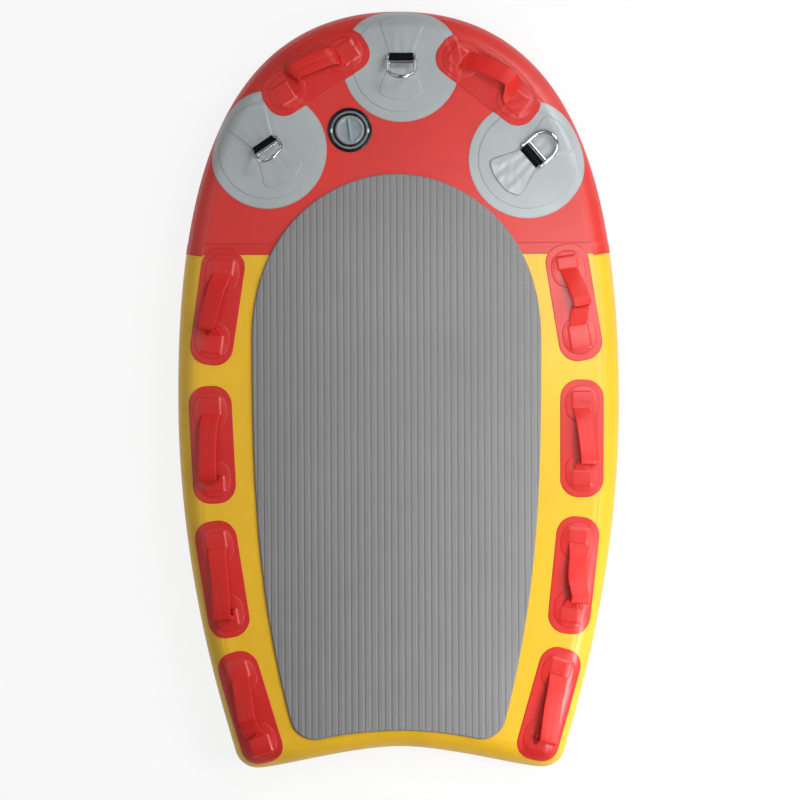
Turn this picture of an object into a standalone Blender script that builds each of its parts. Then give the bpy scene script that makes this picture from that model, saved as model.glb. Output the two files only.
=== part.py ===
"""Inflatable watercraft rescue sled: drop-stitch hull, deck pad, ten grab handles, three tow points.

Metres, +Z up, +Y towards the nose. The origin lies on the ground under the middle of the hull.
"""
import math
from dataclasses import dataclass

import bmesh
import bpy
import numpy as np
from mathutils import Matrix, Vector
from mathutils.geometry import delaunay_2d_cdt

# Hull
LENGTH = 1.700
HALF_WIDTH = 0.4955
THICKNESS = 0.100
WIDEST_SETBACK = 0.870
NOSE_REACH = 0.420
SHOULDER_REACH = 0.429
FLANK_REACH = 0.416
TAIL_HALF_WIDTH = 0.3585
TAIL_LEAN = 0.0285
TAIL_REACH = 0.103
TAIL_NOTCH = 0.047
TAIL_NOTCH_CORNER = 0.038
TAIL_NOTCH_MIDDLE = 0.112
SKIN = 0.0015
GAP = 0.0003

# Panel joints: the deck panels meet under the tape, the rail bands a little further aft
PANEL_JOINT_SETBACK = 0.534
RAIL_JOINT_STEP = 0.019
TAPE_WIDTH = 0.0265
TAPE_THICKNESS = 0.0006
TAPE_STEP = 0.003
RAIL_LAP = 0.003
TAIL_BAND_SHARE = 0.82

# Drop-stitch core
CLOTH = 0.001
YARN_BUNDLE = 0.012
YARN_COLUMNS = 5
YARN_ROWS = 8
CORE_EDGE_CLEARANCE = 0.006
CORE_NOSE_SETBACK = 0.075
CORE_VALVE_CLEARANCE = 0.002

# Deck pad
PAD_NOSE_SETBACK = 0.366
PAD_TAIL_SETBACK = 0.063
PAD_SIDE_SETBACK = 0.1703
PAD_CENTRE_X = -0.004
PAD_WIDEST_SETBACK = 0.370
PAD_NOSE_REACH = 0.145
PAD_SHOULDER_REACH = 0.2547
PAD_FLANK_REACH = 0.3235
PAD_TAIL_SIDE_SETBACK = 0.1287
PAD_TAIL_LEAN = 0.0885
PAD_TAIL_REACH = 0.3145
PAD_TAIL_NOTCH = 0.020
PAD_NOTCH_REACH = 0.057
PAD_CORNER_RADIUS = 0.056
PAD_THICKNESS = 0.005
GROOVE_PITCH = 0.015
GROOVE_WIDTH = 0.0036
GROOVE_DEPTH = 0.0016

# Grab handles
HANDLE_PATCH_LENGTH = 0.265
HANDLE_PATCH_WIDTH = 0.098
HANDLE_PATCH_CORNER = 0.042
HANDLE_PATCH_THICKNESS = 0.0012
STRAP_WIDTH = 0.040
STRAP_THICKNESS = 0.003
STRAP_SLACK = 0.018
STRAP_FOOT_LENGTH = 0.018
STRAP_END_SETBACK = 0.0205

# Tow points
TOW_BASE_RADIUS = 0.1325
TOW_COVER_SETBACK = 0.0215
TOW_PATCH_THICKNESS = 0.001
FAN_THICKNESS = 0.0012
FAN_NECK_HALF_WIDTH = 0.032
FAN_HALF_WIDTH = 0.055
FAN_END_SETBACK = 0.007
FAN_SHOULDER_SETBACK = 0.022
FAN_END_HALF_WIDTH = 0.018
FAN_CORNER_SETBACK = 0.008
FAN_CORNER_DROP = 0.010
TOW_BAR_OFFSET = 0.012
RING_WIRE_RADIUS = 0.0032
RING_CROSSBAR_RADIUS = 0.0026
RING_HALF_WIDTH = 0.0308
RING_LENGTH = 0.0665
RING_CROSSBAR_CLEARANCE = 0.003
RING_CORNER = 0.005
LOOP_THICKNESS = 0.002
LOOP_SIDE_CLEARANCE = 0.0011
LOOP_FOOT = 0.0055
RING_CLEARANCE = 0.0005

# Inflation valve, heights measured from the deck
VALVE_AT = 0.1207
VALVE_INSET = 0.2416
VALVE_PLATE_WIDTH = 0.0159
VALVE_PLATE_THICKNESS = 0.003
VALVE_PLATE_RIM = 0.003
VALVE_PLATE_SUNK = 0.0006
VALVE_FLANGE_WIDTH = 0.0132
VALVE_FLANGE_THICKNESS = 0.0025
VALVE_BARREL_RADIUS = 0.020
VALVE_BARREL_DEPTH = 0.042
VALVE_WALL = 0.003
VALVE_FLOOR = 0.002
VALVE_COLLAR_WALL = 0.005
VALVE_SEAT_DEPTH = 0.012
VALVE_SEAT_RADIUS = 0.010
VALVE_SEAT_THICKNESS = 0.003
VALVE_COLLAR_HEIGHT = 0.0023
VALVE_VENT_RADIUS = 0.008
VALVE_NUT_WIDTH = 0.010
VALVE_NUT_HEIGHT = 0.007
GASKET_THICKNESS = 0.001
CAP_SEAL_THICKNESS = 0.0016
CAP_TOP_THICKNESS = 0.002
CAP_RIM_HEIGHT = 0.0022
CAP_RIM_WIDTH = 0.0054
CAP_RIM_SLOPE = 0.0024
CAP_EDGE_CHAMFER = 0.0015
CAP_SKIRT = 0.003
CAP_BAR_WIDTH = 0.009
CAP_BAR_HEIGHT = 0.0045
CAP_BAR_TURN_DEG = 99.0
POPPET_LAP = 0.0025
POPPET_THICKNESS = 0.0025
POPPET_SEAL_THICKNESS = 0.0016
STEM_RADIUS = 0.003
BUTTON_CLEARANCE = 0.0035
BUTTON_THICKNESS = 0.0025
BUTTON_BELOW_DECK = 0.0025
SPRING_SEAT = 0.002
SPRING_WIRE_RADIUS = 0.0007
SPRING_TURNS = 5
SPRING_POINTS_PER_TURN = 9

# Facets
NOSE_STEPS = 9
SHOULDER_STEPS = 6
FLANK_STEPS = 9
CORNER_STEPS = 5
TAIL_SIDE_STEPS = 3
TAIL_STEPS = 7
RAIL_STEPS = 10
TURN_STEPS = 24
WRAP_TURN_DEG = 9.0
WRAP_CROSS_STEP = 0.030
WRAP_NOSE_STEPS = 36
WRAP_FLANK_STEPS = 24
WRAP_TAIL_STEPS = 8
EDGE_SIDE_STEPS = 60
EDGE_TAIL_STEPS = 20
PAD_NOSE_STEPS = 14
PAD_FLANK_STEPS = 8
PAD_TAIL_STEPS = 6

# Sizes that follow from the ones above
RAIL_RADIUS = THICKNESS / 2
WRAP_STEP = RAIL_RADIUS * math.radians(WRAP_TURN_DEG)
WIDEST_Y = LENGTH / 2 - WIDEST_SETBACK
PANEL_JOINT_Y = LENGTH / 2 - PANEL_JOINT_SETBACK
RAIL_JOINT_Y = PANEL_JOINT_Y - RAIL_JOINT_STEP
PAD_NOSE_Y = LENGTH / 2 - PAD_NOSE_SETBACK
PAD_TAIL_Y = -LENGTH / 2 + PAD_TAIL_SETBACK
PAD_HALF_WIDTH = HALF_WIDTH - PAD_SIDE_SETBACK
STRAP_FOOT_AT = HANDLE_PATCH_LENGTH / 2 - STRAP_END_SETBACK - STRAP_FOOT_LENGTH
TOW_COVER_RADIUS = TOW_BASE_RADIUS - TOW_COVER_SETBACK
FAN_LENGTH = TOW_COVER_RADIUS - TOW_BAR_OFFSET - FAN_END_SETBACK
LOOP_INNER = RING_WIRE_RADIUS + RING_CLEARANCE
LOOP_HALF_WIDTH = RING_HALF_WIDTH - RING_WIRE_RADIUS - LOOP_SIDE_CLEARANCE
RING_CROSSBAR_AT = LOOP_INNER + LOOP_FOOT + RING_CROSSBAR_RADIUS + RING_CROSSBAR_CLEARANCE
VALVE_FLANGE_RADIUS = VALVE_BARREL_RADIUS + VALVE_FLANGE_WIDTH
VALVE_PLATE_INNER = VALVE_FLANGE_RADIUS + 3 * GAP
VALVE_PLATE_RADIUS = VALVE_PLATE_INNER + VALVE_PLATE_WIDTH
VALVE_BORE_RADIUS = VALVE_BARREL_RADIUS - VALVE_COLLAR_WALL
VALVE_NUT_RADIUS = VALVE_BARREL_RADIUS + VALVE_NUT_WIDTH
POPPET_RADIUS = VALVE_SEAT_RADIUS + POPPET_LAP
BUTTON_RADIUS = VALVE_SEAT_RADIUS - BUTTON_CLEARANCE
SPRING_RADIUS = VALVE_VENT_RADIUS + SPRING_SEAT


@dataclass(frozen=True)
class Handle:
    """Place on the edge from nose tip, 0, to tail corner, 1, distance in from it, skew, and the strap's flop.

    Flop points are (towards the nose, outboard, up): the first two in shares of the strap's half length,
    the last relative to the other points.
    """
    name: str
    side: int
    at: float
    inset: float
    skew_deg: float
    flop: tuple


@dataclass(frozen=True)
class TowPoint:
    """Place of the disc, the turn of its fan axis from the edge's normal, and how the ring stands."""
    name: str
    side: int
    at: float
    inset: float
    skew_deg: float
    ring_outwards: bool
    ring_elevation_deg: float


@dataclass(frozen=True)
class Planform:
    """Half outline of a board: two cubic curves down the side, then one across the tail."""
    nose_y: float
    tail_y: float
    half_width: float
    widest_y: float
    nose_reach: float
    shoulder_reach: float
    flank_reach: float
    tail_half_width: float
    tail_lean: float
    tail_reach: float
    tail_notch: float
    notch_corner: tuple
    notch_middle: float


HANDLES = (
    Handle("bow_handle_left", -1, 0.1164, 0.092, -1.2,
           ((0.62, 0.15, 0.5), (0.43, 0.26, 0.95), (-0.32, 0.27, 1), (-0.49, 0.21, 0.7))),
    Handle("bow_handle_right", 1, 0.1337, 0.095, -0.4,
           ((0.64, 0.09, 0.5), (-0.11, 0.3, 1), (-0.32, 0.3, 0.85), (-0.47, 0.15, 0.2))),
    Handle("left_handle_1", -1, 0.4561, 0.082, 4.1,
           ((0.32, 0.13, 0.75), (-0.43, 0.18, 1), (-0.6, 0.18, 0.9), (-0.66, 0.11, 0.15))),
    Handle("left_handle_2", -1, 0.6265, 0.074, -0.3,
           ((0.32, 0.09, 0.7), (-0.62, 0.15, 1), (-0.83, 0.14, 0.8), (-0.89, 0.09, 0.15))),
    Handle("left_handle_3", -1, 0.7920, 0.062, 0.8,
           ((0.53, 0.13, 0.55), (0.09, 0.3, 1), (-0.17, 0.32, 1), (-0.43, 0.21, 0.5))),
    Handle("left_handle_4", -1, 0.9542, 0.057, -1.1,
           ((0.32, 0.06, 0.5), (-0.21, 0.14, 1), (-0.51, 0.15, 0.95), (-0.66, 0.09, 0.2))),
    Handle("right_handle_1", 1, 0.4519, 0.093, 4.6,
           ((0.43, 0.11, 0.7), (0.04, 0.17, 1), (-0.09, 0.17, 0.9), (-0.19, 0.11, 0.12))),
    Handle("right_handle_2", 1, 0.6205, 0.082, 2.0,
           ((0.43, 0.09, 0.6), (-0.45, 0.17, 1), (-0.62, 0.17, 0.85), (-0.68, 0.1, 0.12))),
    Handle("right_handle_3", 1, 0.7893, 0.0695, 3.5,
           ((0.53, 0.06, 0.7), (0.06, 0.09, 1), (-0.11, 0.09, 0.85), (-0.19, 0.06, 0.12))),
    Handle("right_handle_4", 1, 0.9512, 0.060, -0.2,
           ((0.53, 0.02, 0.8), (-0.11, 0.13, 1), (-0.62, 0.19, 0.7), (-0.74, 0.13, 0.3))),
)

TOW_POINTS = (
    TowPoint("tow_centre", 1, 0.0058, 0.117, 1.1, False, 48.0),
    TowPoint("tow_left", -1, 0.2449, 0.119, 31.3, False, 60.0),
    TowPoint("tow_right", 1, 0.2583, 0.128, 18.5, True, 7.0),
)

HULL = Planform(LENGTH / 2, -LENGTH / 2, HALF_WIDTH, WIDEST_Y, NOSE_REACH, SHOULDER_REACH, FLANK_REACH,
                TAIL_HALF_WIDTH, TAIL_LEAN, TAIL_REACH, TAIL_NOTCH, (TAIL_NOTCH_CORNER, 0.0), TAIL_NOTCH_MIDDLE)
PAD = Planform(PAD_NOSE_Y, PAD_TAIL_Y, PAD_HALF_WIDTH, PAD_NOSE_Y - PAD_WIDEST_SETBACK,
               PAD_NOSE_REACH, PAD_SHOULDER_REACH, PAD_FLANK_REACH,
               TAIL_HALF_WIDTH - PAD_TAIL_SIDE_SETBACK, PAD_TAIL_LEAN, PAD_TAIL_REACH, PAD_TAIL_NOTCH,
               (PAD_NOTCH_REACH, PAD_TAIL_NOTCH * 2 / 3), PAD_NOTCH_REACH)


# Scene and materials

def clear_scene():
    for obj in list(bpy.data.objects):
        bpy.data.objects.remove(obj, do_unlink=True)


def make_collection(name):
    collection = bpy.data.collections.new(name)
    bpy.context.scene.collection.children.link(collection)
    return collection


def make_material(name, colour, roughness, metallic=0.0):
    material = bpy.data.materials.new(name)
    material.use_nodes = True
    shader = material.node_tree.nodes["Principled BSDF"]
    shader.inputs["Base Color"].default_value = (*colour, 1.0)
    shader.inputs["Roughness"].default_value = roughness
    shader.inputs["Metallic"].default_value = metallic
    return material


def add_object(name, mesh, material=None, collection=None):
    obj = bpy.data.objects.new(name, mesh)
    (collection or PARTS).objects.link(obj)
    if material:
        mesh.materials.append(material)
    return obj


def mesh_from(name, points, faces):
    mesh = bpy.data.meshes.new(name)
    mesh.from_pydata([tuple(float(c) for c in p) for p in points], [], faces)
    mesh.validate()
    return mesh


def shade(mesh, angle_deg=40):
    mesh.shade_smooth()
    mesh.set_sharp_from_angle(angle=math.radians(angle_deg))


def evaluated_mesh(obj, weld):
    """Mesh of an object with its modifiers applied and loose caps welded."""
    graph = bpy.context.evaluated_depsgraph_get()
    mesh = bpy.data.meshes.new_from_object(obj.evaluated_get(graph))
    work = bmesh.new()
    work.from_mesh(mesh)
    bmesh.ops.remove_doubles(work, verts=work.verts, dist=weld)
    work.to_mesh(mesh)
    work.free()
    return mesh


def hide_cutter(obj):
    obj.hide_render = True
    obj.display_type = "WIRE"


def cut(obj, cutter, operation):
    modifier = obj.modifiers.new(operation.lower(), "BOOLEAN")
    modifier.operation = operation
    modifier.solver = "EXACT"
    modifier.object = cutter


# Outlines

def bisect(low, high, goes_past):
    """Value between low and high where goes_past turns true."""
    for _ in range(50):
        middle = (low + high) / 2
        if goes_past(middle):
            high = middle
        else:
            low = middle
    return (low + high) / 2


def cubic(controls, t):
    """Point, and outward normal, of a cubic curve that runs clockwise round the board."""
    a, b, c, d = (np.array(v) for v in controls)
    point = (1 - t) ** 3 * a + 3 * (1 - t) ** 2 * t * b + 3 * (1 - t) * t * t * c + t ** 3 * d
    along = 3 * (1 - t) ** 2 * (b - a) + 6 * (1 - t) * t * (c - b) + 3 * t * t * (d - c)
    return point, np.array((-along[1], along[0])) / np.hypot(*along)


def side_frame(shape, inset, t):
    """Frame on the inset side: t runs from 0 to 1 round the nose and from 1 to 2 down the flank."""
    wide = shape.half_width
    if t <= 1:
        point, normal = cubic(((0, shape.nose_y), (shape.nose_reach, shape.nose_y),
                               (wide, shape.widest_y + shape.shoulder_reach), (wide, shape.widest_y)), t)
    else:
        end = (shape.tail_half_width, shape.tail_y)
        point, normal = cubic(((wide, shape.widest_y), (wide, shape.widest_y - shape.flank_reach),
                               (end[0] + shape.tail_lean, end[1] + shape.tail_reach), end), t - 1)
    return point - inset * normal, normal


def side_t_at(shape, inset, y):
    return bisect(0, 2, lambda t: side_frame(shape, inset, t)[0][1] < y)


def tail_frame(shape, inset, t):
    """Frame on the cubic across half of the tail, from the corner at 0 to the middle at 1."""
    corner = side_frame(shape, inset, side_t_at(shape, inset, shape.tail_y + inset))[0]
    middle = np.array((0, corner[1] + shape.tail_notch))
    reach, rise = shape.notch_corner
    return cubic((corner, corner + (-reach, rise), middle + (shape.notch_middle, 0), middle), t)


def corner_frames(before, after, steps):
    """Frames between two that share a point, turning from one normal to the other."""
    start = math.atan2(before[1][1], before[1][0])
    turn = math.atan2(after[1][1], after[1][0]) - start
    angles = [start + turn * i / steps for i in range(1, steps)]
    return [(before[0], np.array((math.cos(a), math.sin(a)))) for a in angles]


def mirror(frames):
    """Frames of the left half, in the order that carries on clockwise."""
    flip = np.array((-1, 1))
    return [(point * flip, normal * flip) for point, normal in reversed(frames)]


def half_frames(shape, inset, nose_steps, flank_steps, corner_steps, tail_steps):
    """Frames of the right half, from the nose tip to the middle of the tail."""
    corner_t = side_t_at(shape, inset, shape.tail_y + inset)
    ts = [*np.linspace(0, 1, nose_steps + 1), *np.linspace(1, corner_t, flank_steps + 1)[1:]]
    side = [side_frame(shape, inset, t) for t in ts]
    tail = [tail_frame(shape, inset, t) for t in np.linspace(0, 1, tail_steps + 1)]
    return side + corner_frames(side[-1], tail[0], corner_steps) + tail


def half_gap_at(frame_at, t, step=0.001):
    """Change of t that moves a frame along its curve by half the gap."""
    return GAP / 2 * step / np.linalg.norm(frame_at(t + step)[0] - frame_at(t)[0])


def hull_segments():
    """Frames of the right half of the flat deck: round the nose, down the flank, across the tail."""
    joint = bisect(0, 1, lambda t: side_frame(HULL, 0, t)[0][1] < RAIL_JOINT_Y)
    slack = half_gap_at(lambda t: side_frame(HULL, 0, t), joint)
    corner_t = side_t_at(HULL, RAIL_RADIUS, HULL.tail_y + RAIL_RADIUS)
    tail_corner = tail_frame(HULL, RAIL_RADIUS, 0)
    split_x = tail_corner[0][0] * TAIL_BAND_SHARE
    split = bisect(0, 1, lambda t: tail_frame(HULL, RAIL_RADIUS, t)[0][0] < split_x)
    tail_slack = half_gap_at(lambda t: tail_frame(HULL, RAIL_RADIUS, t), split)
    front_ts = np.linspace(0, joint - slack, NOSE_STEPS + 1)
    flank_ts = [*np.linspace(joint + slack, 1, SHOULDER_STEPS + 1)[:-1],
                *np.linspace(1, corner_t, FLANK_STEPS + 1)]
    front = [side_frame(HULL, RAIL_RADIUS, t) for t in front_ts]
    flank = [side_frame(HULL, RAIL_RADIUS, t) for t in flank_ts]
    flank += corner_frames(flank[-1], tail_corner, CORNER_STEPS)
    flank += [tail_frame(HULL, RAIL_RADIUS, t) for t in np.linspace(0, split - tail_slack, TAIL_SIDE_STEPS + 1)]
    tail = [tail_frame(HULL, RAIL_RADIUS, t) for t in np.linspace(split + tail_slack, 1, TAIL_STEPS)]
    return front, flank, tail


def loop_points(half, distance, centre_x=0.0):
    """Closed anticlockwise outline at a distance outside the frames of a right half."""
    right = [point + distance * normal for point, normal in half]
    left = [point * np.array((-1, 1)) for point in reversed(right[1:-1])]
    loop = [point + np.array((centre_x, 0)) for point in reversed(right + left)]
    return [a for a, b in zip(loop, loop[1:] + loop[:1]) if np.linalg.norm(b - a) > GAP / 10]


def clip_above(loop, y, keep_above):
    """Part of a closed outline on one side of a line across the board."""
    kept = []
    for a, b in zip(loop, loop[1:] + loop[:1]):
        a_in = (a[1] > y) == keep_above
        b_in = (b[1] > y) == keep_above
        if a_in:
            kept.append(a)
        if a_in != b_in:
            kept.append(a + (b - a) * (y - a[1]) / (b[1] - a[1]))
    return kept


def circle(centre, radius, steps=48):
    angles = np.linspace(0, math.tau, steps, endpoint=False)
    return [np.array(centre) + radius * np.array((math.cos(a), math.sin(a))) for a in angles]


def rounded_rectangle(length, width, corner, steps=5):
    """Anticlockwise outline, long side along the first axis, with round corners."""
    outline = []
    for quadrant in range(4):
        x_sign = 1 if quadrant in (0, 3) else -1
        y_sign = 1 if quadrant in (0, 1) else -1
        centre = np.array((x_sign * (length / 2 - corner), y_sign * (width / 2 - corner)))
        for step in range(steps + 1):
            angle = math.pi / 2 * (quadrant + step / steps)
            outline.append(centre + corner * np.array((math.cos(angle), math.sin(angle))))
    return outline


# Deck surface

FRONT_HALF, FLANK_HALF, TAIL_HALF = hull_segments()
HALF = FRONT_HALF + FLANK_HALF + TAIL_HALF
EDGE_HALF = half_frames(HULL, RAIL_RADIUS, EDGE_SIDE_STEPS, EDGE_SIDE_STEPS, 1, EDGE_TAIL_STEPS)
WRAP_HALF = half_frames(HULL, RAIL_RADIUS, WRAP_NOSE_STEPS, WRAP_FLANK_STEPS, CORNER_STEPS, WRAP_TAIL_STEPS)
WRAP_FRAMES = WRAP_HALF + mirror(WRAP_HALF[1:-1])
EDGE_STARTS = np.array(loop_points(EDGE_HALF, 0))
EDGE_ENDS = np.roll(EDGE_STARTS, -1, axis=0)


def nearest_on_edge(points):
    """Nearest points on the flat deck's edge, and how far outside it each point lies."""
    along = EDGE_ENDS - EDGE_STARTS
    towards = points[:, None, :] - EDGE_STARTS[None, :, :]
    share = np.clip((towards * along).sum(2) / (along * along).sum(1), 0, 1)
    feet = EDGE_STARTS + share[..., None] * along
    away = points[:, None, :] - feet
    rows = np.arange(len(points))
    best = np.argmin((away ** 2).sum(2), axis=1)
    outwards = np.stack((along[best, 1], -along[best, 0]), axis=1)
    side = np.sign((away[rows, best] * outwards).sum(1))
    return feet[rows, best], side * np.linalg.norm(away[rows, best], axis=1)


def on_deck(points, height):
    """Lay plan points at a height over the deck, bending them down round the rail past its edge."""
    points = np.array(points, dtype=float)
    feet, outside = nearest_on_edge(points)
    past = outside > 0
    angle = np.where(past, outside, 0) / RAIL_RADIUS
    outwards = np.where(past, 1, 0)[:, None] * (points - feet) / np.maximum(outside, 1e-9)[:, None]
    reach = (RAIL_RADIUS + height) * np.sin(angle)
    plan = np.where(past[:, None], feet + outwards * reach[:, None], points)
    z = RAIL_RADIUS + (RAIL_RADIUS + height) * np.cos(angle)
    return np.column_stack((plan, z))


def drop_at(points):
    """How far the deck's surface lies below its flat part under plan points."""
    outside = np.clip(nearest_on_edge(np.array(points, dtype=float))[1], 0, RAIL_RADIUS)
    return RAIL_RADIUS - np.sqrt(RAIL_RADIUS ** 2 - outside ** 2)


def place(side, at, inset, skew_deg, from_normal):
    """Plan matrix and origin of a fitting: first axis towards the nose, or out from the edge."""
    half = [point for point, _ in EDGE_HALF]
    steps = np.linalg.norm(np.diff(half, axis=0), axis=1)
    reached = np.concatenate(([0], np.cumsum(steps)))
    along = at * reached[2 * EDGE_SIDE_STEPS]
    index = min(int(np.searchsorted(reached, along)), len(half) - 1)
    share = (along - reached[index - 1]) / steps[index - 1]
    point = half[index - 1] + share * (half[index] - half[index - 1])
    normal = EDGE_HALF[index - 1][1] * (1 - share) + EDGE_HALF[index][1] * share
    normal /= np.linalg.norm(normal)
    axis = normal if from_normal else np.array((-normal[1], normal[0]))
    turn = math.radians(skew_deg)
    axis = np.array((axis[0] * math.cos(turn) - axis[1] * math.sin(turn),
                     axis[0] * math.sin(turn) + axis[1] * math.cos(turn)))
    flip = np.array((side, 1))
    origin = (point - (inset - RAIL_RADIUS) * normal) * flip
    axis = axis * flip
    return np.array((axis, (-axis[1], axis[0]))), origin


def to_plan(outline, axes, origin):
    """Local outline points to plan points."""
    return [point @ axes + origin for point in np.array(outline)]


# Solids

def plate(name, loops, z_middle, thickness, material, collection=None):
    """Flat plate from closed outlines; inner ones are holes."""
    curve = bpy.data.curves.new(name, "CURVE")
    curve.dimensions = "2D"
    curve.fill_mode = "BOTH"
    curve.extrude = thickness / 2
    for loop in loops:
        spline = curve.splines.new("POLY")
        spline.points.add(len(loop) - 1)
        spline.use_cyclic_u = True
        for point, (x, y) in zip(spline.points, loop):
            point.co = (x, y, 0, 1)
    source = add_object(f"{name}_outline", curve, collection=CUTTERS)
    mesh = evaluated_mesh(source, 1e-6)
    bpy.data.objects.remove(source)
    obj = add_object(name, mesh, material, collection)
    obj.location.z = z_middle
    return obj


def shell(name, points, faces, thickness, growth, material):
    """Closed solid from an open surface; growth 1 thickens along its normals, -1 against them."""
    obj = add_object(name, mesh_from(name, points, faces), material)
    shade(obj.data)
    modifier = obj.modifiers.new("thickness", "SOLIDIFY")
    modifier.thickness = thickness
    modifier.offset = growth
    modifier.use_even_offset = True
    return obj


def grid_faces(rows, columns):
    """Quads of a grid of points in row order, facing so that row x column is the normal."""
    return [(r * columns + c, (r + 1) * columns + c, (r + 1) * columns + c + 1, r * columns + c + 1)
            for r in range(rows - 1) for c in range(columns - 1)]


def trimmed_surface(outline, cutters, height, over_tape=True):
    """Surface inside an outline and outside the cutters, laid on the deck, and on its tape, at a height."""
    loops = [outline, *cutters]
    points = [Vector(point) for loop in loops for point in loop]
    starts = np.cumsum([0] + [len(loop) for loop in loops])
    faces = [list(range(a, b)) for a, b in zip(starts, starts[1:])]
    edges = []
    for start, end in bend_lines(outline) + (tape_lines(outline) if over_tape else []):
        edges.append((len(points), len(points) + 1))
        points += [Vector(start), Vector(end)]
    verts, _, triangles, _, _, origins = delaunay_2d_cdt(points, edges, faces, 0, 1e-6)
    kept = [list(t) for t, inside in zip(triangles, origins) if list(inside) == [0]]
    used = sorted({v for t in kept for v in t})
    index = {v: i for i, v in enumerate(used)}
    plan = np.array([tuple(verts[v]) for v in used])
    laid = on_deck(plan, height + (tape_lift(plan) if over_tape else 0))
    return laid, [[index[v] for v in t] for t in kept]


def tape_lines(outline):
    """Lines across an outline where it steps up onto the tape and down again."""
    loop = np.array(outline)
    low, high = loop.min(0), loop.max(0)
    lines = []
    for away in (TAPE_WIDTH / 2 + GAP, TAPE_WIDTH / 2 + GAP + TAPE_STEP):
        for y in (PANEL_JOINT_Y - away, PANEL_JOINT_Y + away):
            if low[1] < y < high[1]:
                lines.append(((low[0] - GAP, y), (high[0] + GAP, y)))
    return lines


def tape_lift(points):
    """How much higher a piece lies at plan points because the tape is under it."""
    away = np.abs(np.array(points)[:, 1] - PANEL_JOINT_Y) - TAPE_WIDTH / 2 - GAP
    return (TAPE_THICKNESS + GAP) * np.clip(1 - away / TAPE_STEP, 0, 1)


def bend_lines(outline):
    """Lines along and across the rail under the part of an outline that lies past the flat deck."""
    loop = np.array(outline)
    ahead = np.roll(loop, -1, axis=0)
    samples = np.vstack([loop + (ahead - loop) * share for share in (0, 0.25, 0.5, 0.75)])
    farthest = nearest_on_edge(samples)[1].max()
    if farthest <= 0:
        return []
    low, high = loop.min(0) - WRAP_CROSS_STEP, loop.max(0) + WRAP_CROSS_STEP
    offsets = np.arange(0, farthest + WRAP_STEP, WRAP_STEP)
    lines = []
    for (a, a_out), (b, b_out) in zip(WRAP_FRAMES, WRAP_FRAMES[1:] + WRAP_FRAMES[:1]):
        if (np.maximum(a, b) < low).any() or (np.minimum(a, b) > high).any():
            continue
        lines += [(a + a_out * s, b + b_out * s) for s in offsets if np.linalg.norm(b - a) > GAP or s > 0]
        lines.append((a, a + a_out * offsets[-1]))
    return lines


def turned(name, profile, closed, material, steps=TURN_STEPS, collection=None):
    """Turned solid from (radius, height) points that run down its outer side."""
    count = len(profile)
    mesh = bpy.data.meshes.new(name)
    edges = [(i, (i + 1) % count) for i in range(count if closed else count - 1)]
    mesh.from_pydata([(radius, 0, height) for radius, height in profile], edges, [])
    obj = add_object(name, mesh, material, collection)
    screw = obj.modifiers.new("turn", "SCREW")
    screw.steps = steps
    screw.render_steps = steps
    screw.use_merge_vertices = True
    screw.merge_threshold = 1e-5
    screw.use_smooth_shade = False
    return obj


def ring_profile(inner, outer, low, high):
    return [(inner, high), (outer, high), (outer, low), (inner, low)]


def tube(name, points, radius, cyclic, material, bevel_resolution=2):
    """Round tube along points, as a closed mesh."""
    curve = bpy.data.curves.new(name, "CURVE")
    curve.dimensions = "3D"
    curve.bevel_depth = radius
    curve.bevel_resolution = bevel_resolution
    curve.use_fill_caps = not cyclic
    spline = curve.splines.new("POLY")
    spline.points.add(len(points) - 1)
    spline.use_cyclic_u = cyclic
    for knot, point in zip(spline.points, points):
        knot.co = (*(float(c) for c in point), 1)
    source = add_object(f"{name}_path", curve, collection=CUTTERS)
    mesh = evaluated_mesh(source, 1e-6)
    bpy.data.objects.remove(source)
    obj = add_object(name, mesh, material)
    shade(mesh)
    return obj


def block(name, low, high, collection):
    work = bmesh.new()
    bmesh.ops.create_cube(work, size=1)
    size = np.array(high) - np.array(low)
    bmesh.ops.scale(work, vec=Vector(size), verts=work.verts)
    bmesh.ops.translate(work, vec=Vector((np.array(high) + np.array(low)) / 2), verts=work.verts)
    mesh = bpy.data.meshes.new(name)
    work.to_mesh(mesh)
    work.free()
    return add_object(name, mesh, collection=collection)


# Hull

def build_panels(materials, valve_at):
    """Deck and bottom panels, front and rear, inside the rail bands."""
    start = RAIL_LAP / RAIL_RADIUS
    first_facet = start + (math.pi / 2 - start) / RAIL_STEPS
    outline = loop_points(HALF, RAIL_RADIUS * math.sin(start) - SKIN * math.sin(first_facet) - GAP)
    front = clip_above(outline, PANEL_JOINT_Y + GAP / 2, True)
    rear = clip_above(outline, PANEL_JOINT_Y - GAP / 2, False)
    hole = circle(valve_at, VALVE_BARREL_RADIUS + GAP, TURN_STEPS)
    plate("deck_panel_front", [front, hole], THICKNESS - SKIN / 2, SKIN, materials["red"])
    plate("deck_panel_rear", [rear], THICKNESS - SKIN / 2, SKIN, materials["yellow"])
    plate("bottom_panel_front", [front], SKIN / 2, SKIN, materials["red"])
    plate("bottom_panel_rear", [rear], SKIN / 2, SKIN, materials["yellow"])


def rail_band(name, frames, material):
    """Side wall along clockwise frames: a half tube between the deck and bottom panels."""
    start = RAIL_LAP / RAIL_RADIUS
    angles = np.linspace(start, math.pi - start, RAIL_STEPS + 1)
    points = []
    for point, normal in frames:
        for angle in angles:
            plan = point + RAIL_RADIUS * math.sin(angle) * normal
            points.append((*plan, RAIL_RADIUS * (1 + math.cos(angle))))
    shell(name, points, grid_faces(len(frames), len(angles)), SKIN, -1, material)


def build_rails(materials):
    rail_band("rail_front", mirror(FRONT_HALF[1:]) + FRONT_HALF, materials["red"])
    rail_band("rail_rear_right", FLANK_HALF, materials["yellow"])
    rail_band("rail_rear_left", mirror(FLANK_HALF), materials["yellow"])
    rail_band("rail_tail", TAIL_HALF + mirror(TAIL_HALF[:-1]), materials["yellow"])


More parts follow.
